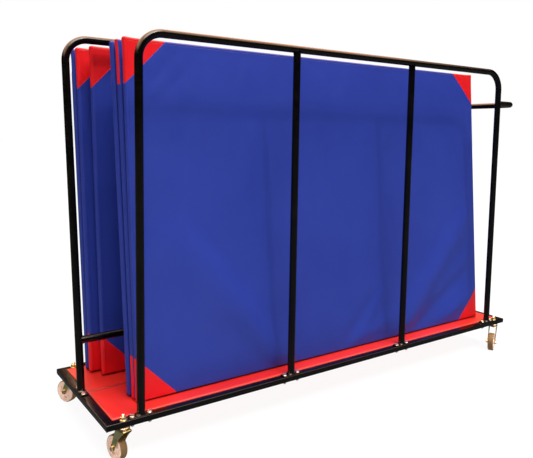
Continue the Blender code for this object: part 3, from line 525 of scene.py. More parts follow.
for name, line_y, rake in (("front_hoop", FRONT_LINE, 0.0), ("rear_hoop", REAR_LINE, RAKE)):
    piece(name, hoop_shapes(line_y, HOOP_HALF, HOOP_HEIGHT, rake), black_paint, "frame")
    for side, label in ((-1, "left"), (1, "right")):
        piece(f"{name}_bar_{label}", bar_shapes(HOOP_MIDDLE + side * BAR_OFFSET, line_y, HOOP_HEIGHT, rake),
              black_paint, "frame")
piece("middle_hoop", hoop_shapes(MIDDLE_LINE, MIDDLE_HALF, MIDDLE_HOOP_HEIGHT, RAKE), black_paint,
      "frame")

# Lower rail of the middle hoop: a length of the same tube, coped and welded between the legs, which
# keeps the rear mats' feet in their bay.
LOWER_RAIL = 0.181 / cos(RAKE)
rail_ends = leaning([(HOOP_MIDDLE + side * MIDDLE_HALF, LOWER_RAIL) for side in (-1, 1)], MIDDLE_LINE, RAKE)
middle_leg = (0.0, sin(RAKE), cos(RAKE))
rail_path = rail_ends[0] + np.linspace(0.0, 1.0, 5)[:, None] * (rail_ends[1] - rail_ends[0])
rail_path[0, 0] += COPE_DEPTH
rail_path[-1, 0] -= COPE_DEPTH
piece("middle_hoop_lower_rail",
      [tube(rail_path, (0.0, 0.0, 1.0)), cope_weld(rail_ends[0], (1, 0, 0), middle_leg),
       cope_weld(rail_ends[1], (-1, 0, 0), middle_leg)],
      black_paint, "frame")

# Feet: plates 84 x 28 x 4 mm, sprayed with the hoops, each held by two zinc-plated M8 bolts with
# washers on top of the rail and nuts beneath it.
PLATE_HALF, PLATE_CORNER = (0.042, 0.014), 0.005
# Heights over the rail and how far the plate's outline is drawn in there
PLATE_LEVELS = ((0.0003, 0.0006), (0.0008, 0.0), (0.0038, 0.0), (0.0043, 0.0006))
BOLT_PITCH, BOLT_RADIUS, ACROSS_FLATS = 0.060, 0.004, 0.013
CLEARANCE = 0.0003

zinc_plate, shader = finish("bright_zinc", (0.80, 0.78, 0.73), 0.28, 1.0)
bloom = noise(zinc_plate, 90.0, 5.0)
feed(shader, Normal=relief(zinc_plate, bloom, 0.2, 0.0002),
     Base_Color=tones(zinc_plate, bloom, (0.32, (0.86, 0.70, 0.60)), (0.62, (0.90, 0.89, 0.84))))


def turned(profile, sides=40):
    """Round shape about a local Z axis: each (radius, height) pair becomes a circle of points."""
    radius, height = np.asarray(profile, float).T
    turn = full_turn(sides)
    return np.stack([np.outer(radius, np.cos(turn)), np.outer(radius, np.sin(turn)),
                     np.broadcast_to(height[:, None], (len(height), sides))], axis=-1)


def hexagon(across_flats, low, high, chamfer_low=False, sides=48):
    """Hexagon head or nut about a local Z axis, chamfered by a 28 degree cone at its free ends.

    The side's radius at angle a is half the size across flats / cos(a mod 60 deg - 30 deg). The cone
    starts at 0.97 of that half size and falls by the tangent of its angle.
    """
    turn = full_turn(sides)
    flat = across_flats / 2
    side = flat / np.cos(np.mod(turn, pi / 3) - pi / 6)
    drop = (side - 0.97 * flat) * 0.53
    face = np.full(sides, 0.97 * flat)
    rows = [(face, np.full(sides, low)), (side, low + (drop if chamfer_low else 0.0001)),
            (side, high - drop), (face, np.full(sides, high))]
    return np.stack([np.stack([radius * np.cos(turn), radius * np.sin(turn), level + 0.0 * turn], axis=-1)
                     for radius, level in rows])


def thread(radius, low, high, pitch=0.00125, sides=32):
    """Threaded end: circles whose radius goes in and out by a third of a millimetre at each pitch."""
    levels = np.arange(low, high, pitch / 2)
    radii = np.where(np.arange(len(levels)) % 2, radius, radius - 0.00035)
    levels = np.concatenate([levels, [high - 0.0003, high]])
    radii = np.concatenate([radii, [radius - 0.0003, radius - 0.0012]])
    return turned(np.stack([radii, levels], axis=-1), sides)


def placed(rows, place, turn=None):
    """Rows of points turned by a 3 x 3 matrix and moved to a place."""
    rows = np.asarray(rows, float)
    if turn is not None:
        rows = rows @ np.asarray(turn, float).T
    return rows + np.asarray(place, float)


def foot_bolt_shapes(place, spin):
    """Bolt with its washer on the plate, and its washer, nut and thread end under the rail."""
    turn = np.array(Matrix.Rotation(spin, 3, "Z"))
    washer = turned([(0.0046, 0.0), (0.0081, 0.0), (0.0085, 0.0004), (0.0085, 0.0011), (0.0081, 0.0015),
                     (0.0046, 0.0015)])
    head = hexagon(ACROSS_FLATS, 0.0014, 0.0070)
    below = RAIL_BOTTOM - PLATE_TOP - CLEARANCE
    nut = hexagon(ACROSS_FLATS, below - 0.0065, below, chamfer_low=True)
    end = thread(BOLT_RADIUS, below - 0.0093, below - 0.0060)
    end[..., 2] = 2 * below - 0.0153 - end[..., 2]
    return [skin(placed(rows, place, turn)) for rows in (washer, head, nut, end)]


def foot_piece(name, x, y, along_x):
    """One foot: rounded plate, painted, and two bolts, plated, each left at its own angle."""
    half = PLATE_HALF if along_x else PLATE_HALF[::-1]
    rows = []
    for level_z, inset_xy in PLATE_LEVELS:
        outline = rounded_outline(half[0] - inset_xy, half[1] - inset_xy, PLATE_CORNER)
        rows.append(np.column_stack([outline, np.full(len(outline), level_z)]) + (x, y, RAIL_TOP))
    shapes, finishes = [skin(rows)], [black_paint]
    for number, side in enumerate((-1, 1)):
        offset = (side * BOLT_PITCH / 2, 0.0) if along_x else (0.0, side * BOLT_PITCH / 2)
        spin = 0.35 + 1.7 * x + 0.9 * number
        shapes += foot_bolt_shapes((x + offset[0], y + offset[1], PLATE_TOP), spin)
        finishes += [zinc_plate] * 4
    piece(name, shapes, finishes, "frame", sharp=30.0)


for hoop_name, line_y in (("front_hoop", FRONT_LINE), ("rear_hoop", REAR_LINE)):
    for number, foot_x in enumerate(HOOP_MIDDLE + HOOP_HALF * np.array([-1, -1 / 3, 1 / 3, 1]), start=1):
        foot_piece(f"{hoop_name}_foot_{number}", float(foot_x), line_y, True)
foot_piece("middle_hoop_foot_left", HOOP_MIDDLE - MIDDLE_HALF, MIDDLE_LINE, False)
foot_piece("middle_hoop_foot_right", HOOP_MIDDLE + MIDDLE_HALF, MIDDLE_LINE, False)

# Push handle: the same tube bent to a level U, which leaves the front hoop's right leg, turns across
# the end of the trolley and comes back to the rear hoop's right leg, welded at both.
HANDLE_HEIGHT = 1.071
HANDLE_Z = RAIL_TOP + HANDLE_HEIGHT
HANDLE_CROSS = HOOP_MIDDLE + MIDDLE_HALF + 2 * TUBE + CLEARANCE
HANDLE_REAR = REAR_LINE + HANDLE_HEIGHT * sin(RAKE) / cos(RAKE)
HANDLE_BEND = 0.050
handle_leg = HOOP_MIDDLE + HOOP_HALF
handle_line = np.vstack([
    [(handle_leg + COPE_DEPTH, FRONT_LINE)],
    arc((HANDLE_CROSS - HANDLE_BEND, FRONT_LINE + HANDLE_BEND), HANDLE_BEND, -90, 0),
    arc((HANDLE_CROSS - HANDLE_BEND, HANDLE_REAR - HANDLE_BEND), HANDLE_BEND, 0, 90),
    [(handle_leg + COPE_DEPTH, HANDLE_REAR)]])
handle_path = np.column_stack([handle_line, np.full(len(handle_line), HANDLE_Z)])
piece("push_handle",
      [tube(handle_path, (0.0, 0.0, 1.0)),
       cope_weld((handle_leg, FRONT_LINE, HANDLE_Z), (1, 0, 0), (0, 0, 1)),
       cope_weld((handle_leg, HANDLE_REAR, HANDLE_Z), (1, 0, 0), middle_leg)],
      black_paint, "frame")

# Caster fixings: a yellow-plated stem goes up through the rail to a washer and nut on top, over a
# pressed race cup that holds the ball race against the rail.
RACE_FOOT = 0.1157
CROWN_TOP = 0.1154
CUP_PROFILE = ((0.0180, 0.0), (0.0196, 0.0002), (0.0208, 0.0014), (0.0210, 0.0030), (0.0203, 0.0048),
               (0.0203, 0.0056), (0.0209, 0.0066), (0.0200, 0.0082), (0.0180, 0.0090))

yellow_zinc, shader = finish("yellow_zinc", (0.50, 0.52, 0.27), 0.30, 1.0)
tarnish = noise(yellow_zinc, 38.0, 4.0, Distortion=0.6)
feed(shader, Normal=relief(yellow_zinc, tarnish, 0.15, 0.0003),
     Base_Color=tones(yellow_zinc, tarnish, (0.30, (0.42, 0.52, 0.20)), (0.48, (0.64, 0.68, 0.30)),
                      (0.68, (0.84, 0.66, 0.52))))

# Race cup: zinc painted dark brown as painted shade under the rail, mottled at random by noise
painted_shade_zinc, shader = finish("painted_shade_zinc", (0.36, 0.27, 0.22), 0.45, 1.0)
cup_mottle = noise(painted_shade_zinc, 140.0, 5.0)
feed(shader, Base_Color=tones(painted_shade_zinc, cup_mottle, (0.35, (0.16, 0.10, 0.07)), (0.65, (0.42, 0.33, 0.27))))

CORNERS = ("front_left", "front_right", "rear_left", "rear_right")
joints = {joint["name"]: joint for joint in frame["joints"]}
for corner in CORNERS:
    stem_x, stem_y, _ = joints[f"{corner}_swivel"]["pos_m"]
    stem_place = (stem_x, stem_y, 0.0)
    washer = turned([(0.0064, 0.1453), (0.0121, 0.1453), (0.0125, 0.1458), (0.0125, 0.1468), (0.0121, 0.1473),
                     (0.0064, 0.1473)], 48)
    nut = hexagon(0.018, 0.1472, 0.1563)
    dome = np.linspace(0.0, pi / 2, 7)[:-1]
    tip = [(0.0060 * cos(a), 0.1623 + 0.0030 * sin(a)) for a in dome]
    end = np.vstack([thread(0.006, 0.1555, 0.1615, sides=40)[:-2], turned(tip, 40)])
    head = turned([(0.0090, 0.1080), (0.0100, 0.1090), (0.0100, 0.1120), (0.0098, 0.1121)], 40)
    shank = turned([(0.0058, 0.1110), (0.0058, 0.1460)], 24)
    shapes = [skin(placed(rows, stem_place)) for rows in (washer, nut, end, head, shank)]
    piece(f"caster_{corner}_stem", shapes, [yellow_zinc, yellow_zinc, zinc_plate, yellow_zinc, yellow_zinc],
          "frame", sharp=30.0)
    cup = turned([(radius, RACE_FOOT + level) for radius, level in CUP_PROFILE], 64)
    piece(f"caster_{corner}_race_cup", [skin(placed(cup, stem_place))], painted_shade_zinc, "frame")

# Forks: pressed from 2.5 mm sheet, crown and two legs in one piece with bent shoulders. The legs
# sweep back to a round boss at the axle. Plated yellow.
TRAIL, AXLE_Z = 0.036, 0.0425
FORK_HALF, SHEET, SHEET_EDGE, SHOULDER = 0.0180, 0.0025, 0.0006, 0.0045
LEAD, TAIL = 0.023, 0.019
BOSS = 0.0095
AXLE_DROP = AXLE_Z - CROWN_TOP


def fork_rows(columns=14):
    """Sheet fork about its stem: u runs back along X, v across, w up from the crown's top.

    s is the way along the bent sheet from one boss over the crown to the other. At each s the
    sheet's outer face has a place (v, w) and a normal in the v-w plane, and reaches from front(w)
    to back(w) along u. A row is the loop round the sheet's section there, with its edges rounded.
    The front edge runs from the crown on start (1 - t)^2 + 2 pull t (1 - t) + boss t^2.
    """
    sweep = np.linspace(0.0, 1.0, 14)[:, None]
    start, pull = np.array([-LEAD + 0.004, -0.009]), np.array([0.004, -0.026])
    boss_front = arc((TRAIL, AXLE_DROP), BOSS, 200, 270, 9)
    boss_back = arc((TRAIL, AXLE_DROP), BOSS, 380, 270, 12)
    curve = start * (1 - sweep) ** 2 + pull * 2 * sweep * (1 - sweep) + boss_front[0] * sweep ** 2
    front = np.vstack([[(-LEAD, 0.0)], curve, boss_front[1:]])
    back = np.vstack([[(TAIL, 0.0)], boss_back])
    lowest = AXLE_DROP - BOSS
    leg = np.concatenate([lowest + 0.0002 + BOSS * (1 - np.cos(np.linspace(0, pi / 2, 12))),
                          np.linspace(AXLE_DROP + 0.0015, -SHOULDER, 18)])
    bend = np.linspace(0.0, pi / 2, 8)[1:]
    outer_v = np.concatenate([np.full(len(leg), -FORK_HALF), -FORK_HALF + SHOULDER * (1 - np.cos(bend))])
    outer_w = np.concatenate([leg, -SHOULDER + SHOULDER * np.sin(bend)])
    normal_v = np.concatenate([np.full(len(leg), -1.0), -np.cos(bend)])
    normal_w = np.concatenate([np.zeros(len(leg)), np.sin(bend)])
    crown_v = np.linspace(-FORK_HALF + SHOULDER, FORK_HALF - SHOULDER, 9)[1:-1]
    v = np.concatenate([outer_v, crown_v, -outer_v[::-1]])
    w = np.concatenate([outer_w, 0.0 * crown_v, outer_w[::-1]])
    nv = np.concatenate([normal_v, 0.0 * crown_v, -normal_v[::-1]])
    nw = np.concatenate([normal_w, 1.0 + 0.0 * crown_v, normal_w[::-1]])
    first = np.interp(w, front[::-1, 1], front[::-1, 0])
    last = np.interp(w, back[::-1, 1], back[::-1, 0])
    edge = np.minimum(SHEET_EDGE, (last - first) / 4)
    share = np.linspace(0.0, 1.0, columns)
    across = (first + edge)[:, None] + (last - first - 2 * edge)[:, None] * share
    last_pair, first_pair = np.repeat(last[:, None], 2, axis=1), np.repeat(first[:, None], 2, axis=1)
    u = np.concatenate([across, last_pair, across[:, ::-1], first_pair], axis=1)
    edges = np.array([SHEET_EDGE, SHEET - SHEET_EDGE])
    depth = np.concatenate([np.zeros(columns), edges, np.full(columns, SHEET), edges[::-1]])
    return np.stack([u, v[:, None] - nv[:, None] * depth, w[:, None] - nw[:, None] * depth], axis=-1)


def caster_turn(corner):
    """Matrix whose columns are the caster's backward direction, its axle and up."""
    swivel = np.array(joints[f"{corner}_swivel"]["pos_m"])
    axle = np.array(joints[f"{corner}_wheel"]["pos_m"])
    heading = atan2(axle[1] - swivel[1], axle[0] - swivel[0])
    return np.array(Matrix.Rotation(heading, 3, "Z"))


fork = fork_rows()
for corner in CORNERS:
    stem_x, stem_y, _ = joints[f"{corner}_swivel"]["pos_m"]
    piece(f"caster_{corner}_fork", [skin(placed(fork, (stem_x, stem_y, CROWN_TOP), caster_turn(corner)))],
          yellow_zinc, f"{corner}_swivel", sharp=35.0)

# Axles: M8 bolts across the forks with a hexagon head on one side and a nut on the other, plated.
FORK_FACE = FORK_HALF + CLEARANCE
to_axle = np.array([[1, 0, 0], [0, 0, 1], [0, -1, 0]])
for corner in CORNERS:
    axle_place = joints[f"{corner}_wheel"]["pos_m"]
    turn = caster_turn(corner) @ to_axle
    head = hexagon(ACROSS_FLATS, FORK_FACE, FORK_FACE + 0.0055)
    nut = hexagon(ACROSS_FLATS, FORK_FACE, FORK_FACE + 0.0065) * (1, 1, -1)
    end = thread(BOLT_RADIUS, FORK_FACE + 0.006, FORK_FACE + 0.0095) * (1, 1, -1)
    shank = turned([(0.0039, -FORK_FACE), (0.0039, FORK_FACE)], 24)
    shapes = [skin(placed(rows, axle_place, turn)) for rows in (head, nut[::-1], end[::-1], shank)]
    piece(f"caster_{corner}_axle", shapes, zinc_plate, f"{corner}_swivel", sharp=30.0)

# Wheels: a moulded nylon centre with hub, web and rim, and a moulded rubber tyre with a raised line
# round its side. The tread is painted darker than the sides as painted shade, mottled by dirt.
cream_nylon, shader = finish("cream_nylon", (0.80, 0.62, 0.50), 0.42, Subsurface_Weight=0.1,
                             Subsurface_Radius=(0.004, 0.002, 0.001))
scuffs = noise(cream_nylon, 55.0, 6.0, Roughness=0.7)
feed(shader, Normal=relief(cream_nylon, scuffs, 0.2, 0.0003),
     Base_Color=tones(cream_nylon, scuffs, (0.22, (0.66, 0.46, 0.34)), (0.45, (0.95, 0.70, 0.56))))

tan_rubber, shader = finish("tan_rubber", (0.60, 0.42, 0.34), 0.62)
dirt = noise(tan_rubber, 120.0, 6.0, Roughness=0.7)
# tread is the share of painted shade: the tread is painted darker than the sides, and dirt noise mottles it
tread = node(tan_rubber, "ShaderNodeAttribute", attribute_name="tread").outputs["Fac"]
tread_shade_and_dirt = work(tan_rubber, "ADD", tread, work(tan_rubber, "MULTIPLY", dirt, 0.5))
feed(shader, Normal=relief(tan_rubber, dirt, 0.3, 0.0003),
     Base_Color=tones(tan_rubber, tread_shade_and_dirt, (0.28, (0.92, 0.64, 0.49)), (0.55, (0.42, 0.24, 0.10)),
                      (1.0, (0.17, 0.095, 0.030))))

WHEEL_RADIUS, TYRE_DEPTH = 0.0425, 0.0105
CENTRE_SIDES, TYRE_SIDES = 72, 96
rim_radius = WHEEL_RADIUS - TYRE_DEPTH - CLEARANCE
centre_half = [(0.0044, 0.0142), (0.0060, 0.0145), (0.0108, 0.0145), (0.0115, 0.0138), (0.0117, 0.0062),
               (0.0128, 0.0046), (0.0150, 0.0040), (0.0225, 0.0040), (0.0248, 0.0047), (0.0258, 0.0065),
               (0.0262, 0.0105), (0.0268, 0.0115), (0.0312, 0.0115), (rim_radius, 0.0108)]
centre_profile = centre_half + [(radius, -level_z) for radius, level_z in centre_half[::-1]]
tyre_turn = np.linspace(0.0, pi / 2, 7)
tyre_side = [(0.0321, 0.0119), (0.0335, 0.0124), (0.0348, 0.0124), (0.0353, 0.0129), (0.0359, 0.0129),
             (0.0364, 0.0124)]
tyre_shoulder = [(0.0385 + 0.0038 * sin(a), 0.0085 + 0.0040 * cos(a)) for a in tyre_turn]
tyre_half = tyre_side + tyre_shoulder + [(0.04234, 0.0040)]
tyre_profile = np.array(tyre_half + [(radius, -level_z) for radius, level_z in tyre_half[::-1]])
# Share of painted shade over the tyre's profile: none on the sides, rising over the shoulder to the tread
tyre_tread = np.clip((tyre_profile[:, 0] - 0.0375) / 0.0040, 0.0, 1.0) * 0.8
for corner in CORNERS:
    axle_place = joints[f"{corner}_wheel"]["pos_m"]
    turn = caster_turn(corner) @ to_axle
    centre_rows = placed(turned(centre_profile, CENTRE_SIDES), axle_place, turn)
    piece(f"caster_{corner}_wheel_centre", [skin(centre_rows, looped=True)], cream_nylon,
          f"{corner}_wheel")
    tyre_rows = placed(turned(tyre_profile, TYRE_SIDES), axle_place, turn)
    piece(f"caster_{corner}_tyre", [skin(tyre_rows, looped=True)], tan_rubber,
          f"{corner}_wheel", marks={"tread": np.repeat(tyre_tread, TYRE_SIDES)})

# Mats: foam slabs 1.83 x 1.22 m and 30 mm thick in sewn covers of coated cloth, blue with red
# corners. They stand on their long edges and lean back. A cloth simulation sets the puckers of the
# slack covers, and the folds that the first mat's cover hangs in come on top.
MAT_LENGTH, MAT_HEIGHT, RIM_HALF = 1.830, 1.220, 0.0135
MAT_EDGE, MAT_CROWN = 0.008, 0.0019
FACE_COLUMNS, FACE_ROWS = 92, 61
MAT_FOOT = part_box("deck_board_front")[1].z + 0.0063
SLAB_BACK, FOOT_TUCK, RIM_BULGE, RIM_FLAT = 0.0075, 0.006, 0.0004, 0.0022
CORNER_LEG = 0.150
PUCKER_SHARE, PUCKER_CAP, SETTLE_FRAMES = 0.25, 0.0010, 20
SEAM_INSET, SEAM_HALF, PATCH_SEAM_HALF, STITCH_PITCH = 0.011, 0.0022, 0.0030, 0.0055
FOLD_FADE, EAR_REACH, BEND_START, BEND_REACH = 16, 0.012, 0.65, 0.5
# Left end, place of the lower back edge, lean in degrees, cover, how far the upper left of the slab
# bends towards the back, and how far the corners stand out
MATS = {
    "mat_front_1": (-0.905825, -0.206398, 4.75, "red_corners", -0.010, 0.0050),
    "mat_front_2": (-0.906825, -0.175430, 5.50, "red_ends", 0.003, 0.0065),
    "mat_front_3": (-0.912825, -0.144448, 5.90, "plain", 0.004, 0.0030),
    "mat_rear_1": (-0.923825, 0.077621, 4.25, "red_corners", -0.004, 0.0030),
    "mat_rear_2": (-0.953325, 0.129603, 4.75, "red_corners", 0.003, 0.0030),
    "mat_rear_3": (-0.956325, 0.161580, 5.30, "plain", 0.003, 0.0030),
}
# Folds of the first mat's cover: from and to, as x and z on the mat, the widths of their upper and
# lower sides, and their lift
FOLDS = (
    ((0.120, 0.630), (0.680, -0.070), 0.050, 0.110, 0.0210),
    ((0.330, 0.250), (0.660, -0.140), 0.034, 0.050, -0.0080),
    ((1.120, -0.130), (1.830, 0.590), 0.060, 0.050, 0.0175),
    ((1.180, -0.080), (1.870, 0.300), 0.030, 0.030, -0.0085),
    ((1.380, -0.060), (1.870, 0.170), 0.030, 0.030, 0.0100),
    ((0.840, -0.020), (1.300, 0.120), 0.030, 0.026, 0.0060),
    ((0.870, -0.030), (1.160, 0.260), 0.020, 0.020, -0.0055),
    ((1.000, 0.010), (1.210, 0.290), 0.022, 0.020, 0.0050),
    ((0.215, 1.000), (0.100, -0.100), 0.026, 0.026, -0.0034),
    ((0.835, 1.000), (0.720, -0.100), 0.026, 0.026, -0.0030),
    ((0.030, 1.010), (0.240, 1.230), 0.012, 0.010, -0.0030),
    ((0.060, 0.960), (0.330, 1.230), 0.014, 0.012, -0.0022),
    ((0.660, 1.220), (0.820, 0.960), 0.018, 0.016, 0.0018),
    ((0.500, 1.220), (0.420, 1.020), 0.016, 0.014, 0.0014),
    ((1.450, 1.200), (1.700, 1.060), 0.018, 0.016, 0.0018),
    ((1.800, 0.420), (1.690, 0.140), 0.016, 0.014, 0.0026),
)


def vinyl(name, red_corners, red_front):
    """Coated cloth. The panel attribute holds a point's x and z on the mat, and how far through it is.

    A corner patch is where the distances to the two nearest edges add up to less than the patch's
    leg; without red_front it ends at the front face's border. Its seam and the seam round the face
    are grooves with a row of stitches. The foot is painted nearly black as painted shade, the contact
    shadow where the cover meets the deck.
    """
    made, shader = finish(name, (0.018, 0.034, 0.240), 0.40, IOR=1.45, Specular_IOR_Level=0.28)
    place = node(made, "ShaderNodeTexCoord").outputs["Object"]
    panel_place = node(made, "ShaderNodeAttribute", attribute_name="panel").outputs["Vector"]
    panel = node(made, "ShaderNodeSeparateXYZ", {"Vector": panel_place}).outputs

    def step(operation, *values):
        return work(made, operation, *values)

    def rise(value, low, high):
        return ranged(made, value, low, high, smooth=True)

    from_end = step("MINIMUM", panel["X"], step("SUBTRACT", MAT_LENGTH, panel["X"]))
    from_long = step("MINIMUM", panel["Y"], step("SUBTRACT", MAT_HEIGHT, panel["Y"]))
    corner_sum = step("ADD", from_end, from_long)
    border = step("MINIMUM", from_end, from_long)
    shades = noise(made, 2.6, 5.0, Roughness=0.6)
    colour = tones(made, shades, (0.30, (0.0158, 0.0318, 0.244)), (0.72, (0.0204, 0.0395, 0.282)))
    seam_gap = step("ABSOLUTE", step("SUBTRACT", border, SEAM_INSET))
    face_only = step("GREATER_THAN", step("ABSOLUTE", panel["Z"]), 0.9)
    groove = step("MULTIPLY", step("SUBTRACT", 1.0, rise(seam_gap, 0.0, SEAM_HALF)), face_only)
    if red_corners:
        patch = step("SUBTRACT", 1.0, rise(corner_sum, CORNER_LEG - 0.0008, CORNER_LEG + 0.0008))
        if not red_front:
            patch = step("MULTIPLY", patch, step("GREATER_THAN", panel["Z"], -0.85))
        colour = mixed(made, patch, colour, (0.66, 0.006, 0.010, 1.0))
        patch_gap = step("ABSOLUTE", step("SUBTRACT", corner_sum, CORNER_LEG))
        patch_groove = step("SUBTRACT", 1.0, rise(patch_gap, 0.0, PATCH_SEAM_HALF))
        groove = step("MAXIMUM", groove, patch_groove)
    # Painted shade: the bottom centimetre of the cover is painted nearly black for the contact shadow at the
    # foot
    painted_foot_shade = step("MULTIPLY", 0.93, rise(panel["Y"], 0.010, 0.001))
    along_seam = step("ADD", panel["X"], panel["Y"])
    stitches = step("GREATER_THAN", step("SINE", step("MULTIPLY", along_seam, 2 * pi / STITCH_PITCH)), -0.2)
    sewn = step("SUBTRACT", step("MULTIPLY", step("MULTIPLY", groove, stitches), 0.6), groove)
    threads = [node(made, "ShaderNodeTexWave", {"Vector": place, "Scale": 210.0, "Distortion": 0.4},
                    bands_direction=way).outputs["Fac"] for way in ("X", "Z")]
    weave = relief(made, step("MULTIPLY", *threads), 0.25, 0.00025)
    creases = noise(made, 11.0, 4.0, stretch=(1.0, 1.0, 0.45), Roughness=0.55, Distortion=0.3)
    creased = relief(made, creases, 0.5, 0.003, under=weave)
    sheen = noise(made, 30.0, 5.0, Roughness=0.7)
    feed(shader, Base_Color=mixed(made, painted_foot_shade, colour, (0.003, 0.002, 0.006, 1.0)),
         Roughness=ranged(made, sheen, 0.3, 0.7, 0.34, 0.48),
         Normal=relief(made, sewn, 0.8, 0.0012, under=creased))
    return made


def open_sheet(grid):
    """Faces over an open grid of points (column, row, xyz)."""
    columns, rows, _ = grid.shape
    index = np.arange(columns * rows).reshape(columns, rows)
    quads = np.stack([index[:-1, :-1], index[1:, :-1], index[1:, 1:], index[:-1, 1:]], axis=-1)
    return grid.reshape(-1, 3), quads.reshape(-1, 4).tolist()


def face_places():
    """x and z of every point of a mat's face, and the same as shares a and b from -1 to 1."""
    x = MAT_EDGE + (MAT_LENGTH - 2 * MAT_EDGE) * np.linspace(0.0, 1.0, FACE_COLUMNS + 1)
    z = MAT_EDGE + (MAT_HEIGHT - 2 * MAT_EDGE) * np.linspace(0.0, 1.0, FACE_ROWS + 1)
    grid_x, grid_z = np.meshgrid(x, z, indexing="ij")
    return grid_x, grid_z, 2 * grid_x / MAT_LENGTH - 1, 2 * grid_z / MAT_HEIGHT - 1


def face_depth(a, b):
    """Half thickness of a mat: rim half + crown (edge a^4 - a^4)(edge b^4 - b^4)."""
    edge_a = (2 * MAT_EDGE / MAT_LENGTH - 1) ** 4
    edge_b = (2 * MAT_EDGE / MAT_HEIGHT - 1) ** 4
    return RIM_HALF + MAT_CROWN * np.clip((edge_a - a ** 4) * (edge_b - b ** 4), 0.0, None)


def off_border(a, b, steep_a, steep_b):
    """Share that rises from 0 at a face's border to 1 as fast as its two steepnesses say."""
    return np.clip((1 - np.abs(a)) * steep_a, 0, 1) * np.clip((1 - np.abs(b)) * steep_b, 0, 1)


def window_mean(field, reach):
    """Mean of a field over a square of 2 reach + 1 points, its border being carried on outwards."""
    span = 2 * reach + 1
    for axis, count in enumerate(field.shape):
        wide = np.pad(field, [(reach + 1, reach) if side == axis else (0, 0) for side in (0, 1)], mode="edge")
        run = np.cumsum(wide, axis=axis)
        field = (np.take(run, np.arange(count) + span, axis) - np.take(run, np.arange(count), axis)) / span
    return field


def cover_puckers():
    """How far a slack cover lifts off its foam at each point of a face, by cloth simulation.

    A closed cover, cut a little too large, is held by its border and lightly by its foam, and is
    blown up for 20 frames. The broad swell, which is the mean over a window of 0.3 m, is taken
    away, because foam and cover share it. A quarter of the rest stays, at most a millimetre.
    """
    grid_x, grid_z, a, b = face_places()
    wave = np.arange(1, 9)[:, None, None]
    start = np.sin(1.7 * wave + grid_x * (11 + 4.1 * wave) * np.cos(wave)
                   + grid_z * (9 + 3.7 * wave) * np.sin(wave))
    depth = face_depth(a, b) + 0.0006 * start.mean(axis=0) * off_border(a, b, 12, 8)
    front, faces = open_sheet(np.stack([grid_x, -depth, grid_z], axis=-1))
    back = front * (1, -1, 1)
    index = np.arange(grid_x.size).reshape(grid_x.shape)
    ring = np.concatenate([index[:-1, 0], index[-1, :-1], index[:0:-1, -1], index[0, :0:-1]])
    sides = np.stack([ring, ring + len(front), np.roll(ring, -1) + len(front), np.roll(ring, -1)], axis=-1)
    mesh = bpy.data.meshes.new("cover_trial")
    mesh.from_pydata(np.vstack([front, back]).tolist(), [],
                     faces + (np.array(faces)[:, ::-1] + len(front)).tolist() + sides.tolist())
    face_outwards(mesh)
    trial = put("cover_trial", mesh)
    held = trial.vertex_groups.new(name="held")
    inside = index[1:-1, 1:-1].ravel()
    held.add(np.concatenate([inside, inside + len(front)]).tolist(), 0.2, "REPLACE")
    held.add(np.concatenate([ring, ring + len(front)]).tolist(), 1.0, "REPLACE")
    cloth = trial.modifiers.new("Cloth", "CLOTH")
    cloth.settings.quality = 5
    cloth.settings.mass = 0.3
    cloth.settings.vertex_group_mass = "held"
    cloth.settings.pin_stiffness = 1.0
    cloth.settings.tension_stiffness = cloth.settings.compression_stiffness = 15.0
    cloth.settings.shear_stiffness = 5.0
    cloth.settings.bending_stiffness = 4.0
    cloth.settings.shrink_min = -0.004
    cloth.settings.use_pressure = True
    cloth.settings.uniform_pressure_force = 4.0
    cloth.settings.effector_weights.gravity = 0.0
    cloth.collision_settings.use_collision = False
    cloth.point_cache.frame_start, cloth.point_cache.frame_end = 1, SETTLE_FRAMES
    for moment in range(1, SETTLE_FRAMES + 1):
        bpy.context.scene.frame_set(moment)
    settled = trial.evaluated_get(bpy.context.evaluated_depsgraph_get()).data
    points = np.empty(len(mesh.vertices) * 3)
    settled.vertices.foreach_get("co", points)
    lift = front[:, 1] - points.reshape(-1, 3)[:len(front), 1]
    bpy.data.objects.remove(trial)
    bpy.data.meshes.remove(mesh)
    bpy.context.scene.frame_set(1)
    lift = lift.reshape(grid_x.shape)
    finer = PUCKER_SHARE * (lift - window_mean(lift, 7))
    return np.clip(finer, -PUCKER_CAP, PUCKER_CAP) * off_border(a, b, 30, 20)


def fold_lift(grid_x, grid_z, a, b):
    """Lift of a face by the folds: each is its lift * 4 t (1 - t) * exp(-(distance / width)^2).

    t is the way along the fold, the distance is from its line, and each side of the line has its
    own width. All fade towards the border.
    """
    lift = np.zeros_like(grid_x)
    for (from_x, from_z), (to_x, to_z), upper, lower, height in FOLDS:
        length = np.hypot(to_x - from_x, to_z - from_z)
        way_x, way_z = (to_x - from_x) / length, (to_z - from_z) / length
        along = np.clip(((grid_x - from_x) * way_x + (grid_z - from_z) * way_z) / length, 0.0, 1.0)
        off = (grid_z - from_z) * way_x - (grid_x - from_x) * way_z
        lift += height * 4 * along * (1 - along) * np.exp(-(off / np.where(off > 0, upper, lower)) ** 2)
    return lift * off_border(a, b, FOLD_FADE, FOLD_FADE)


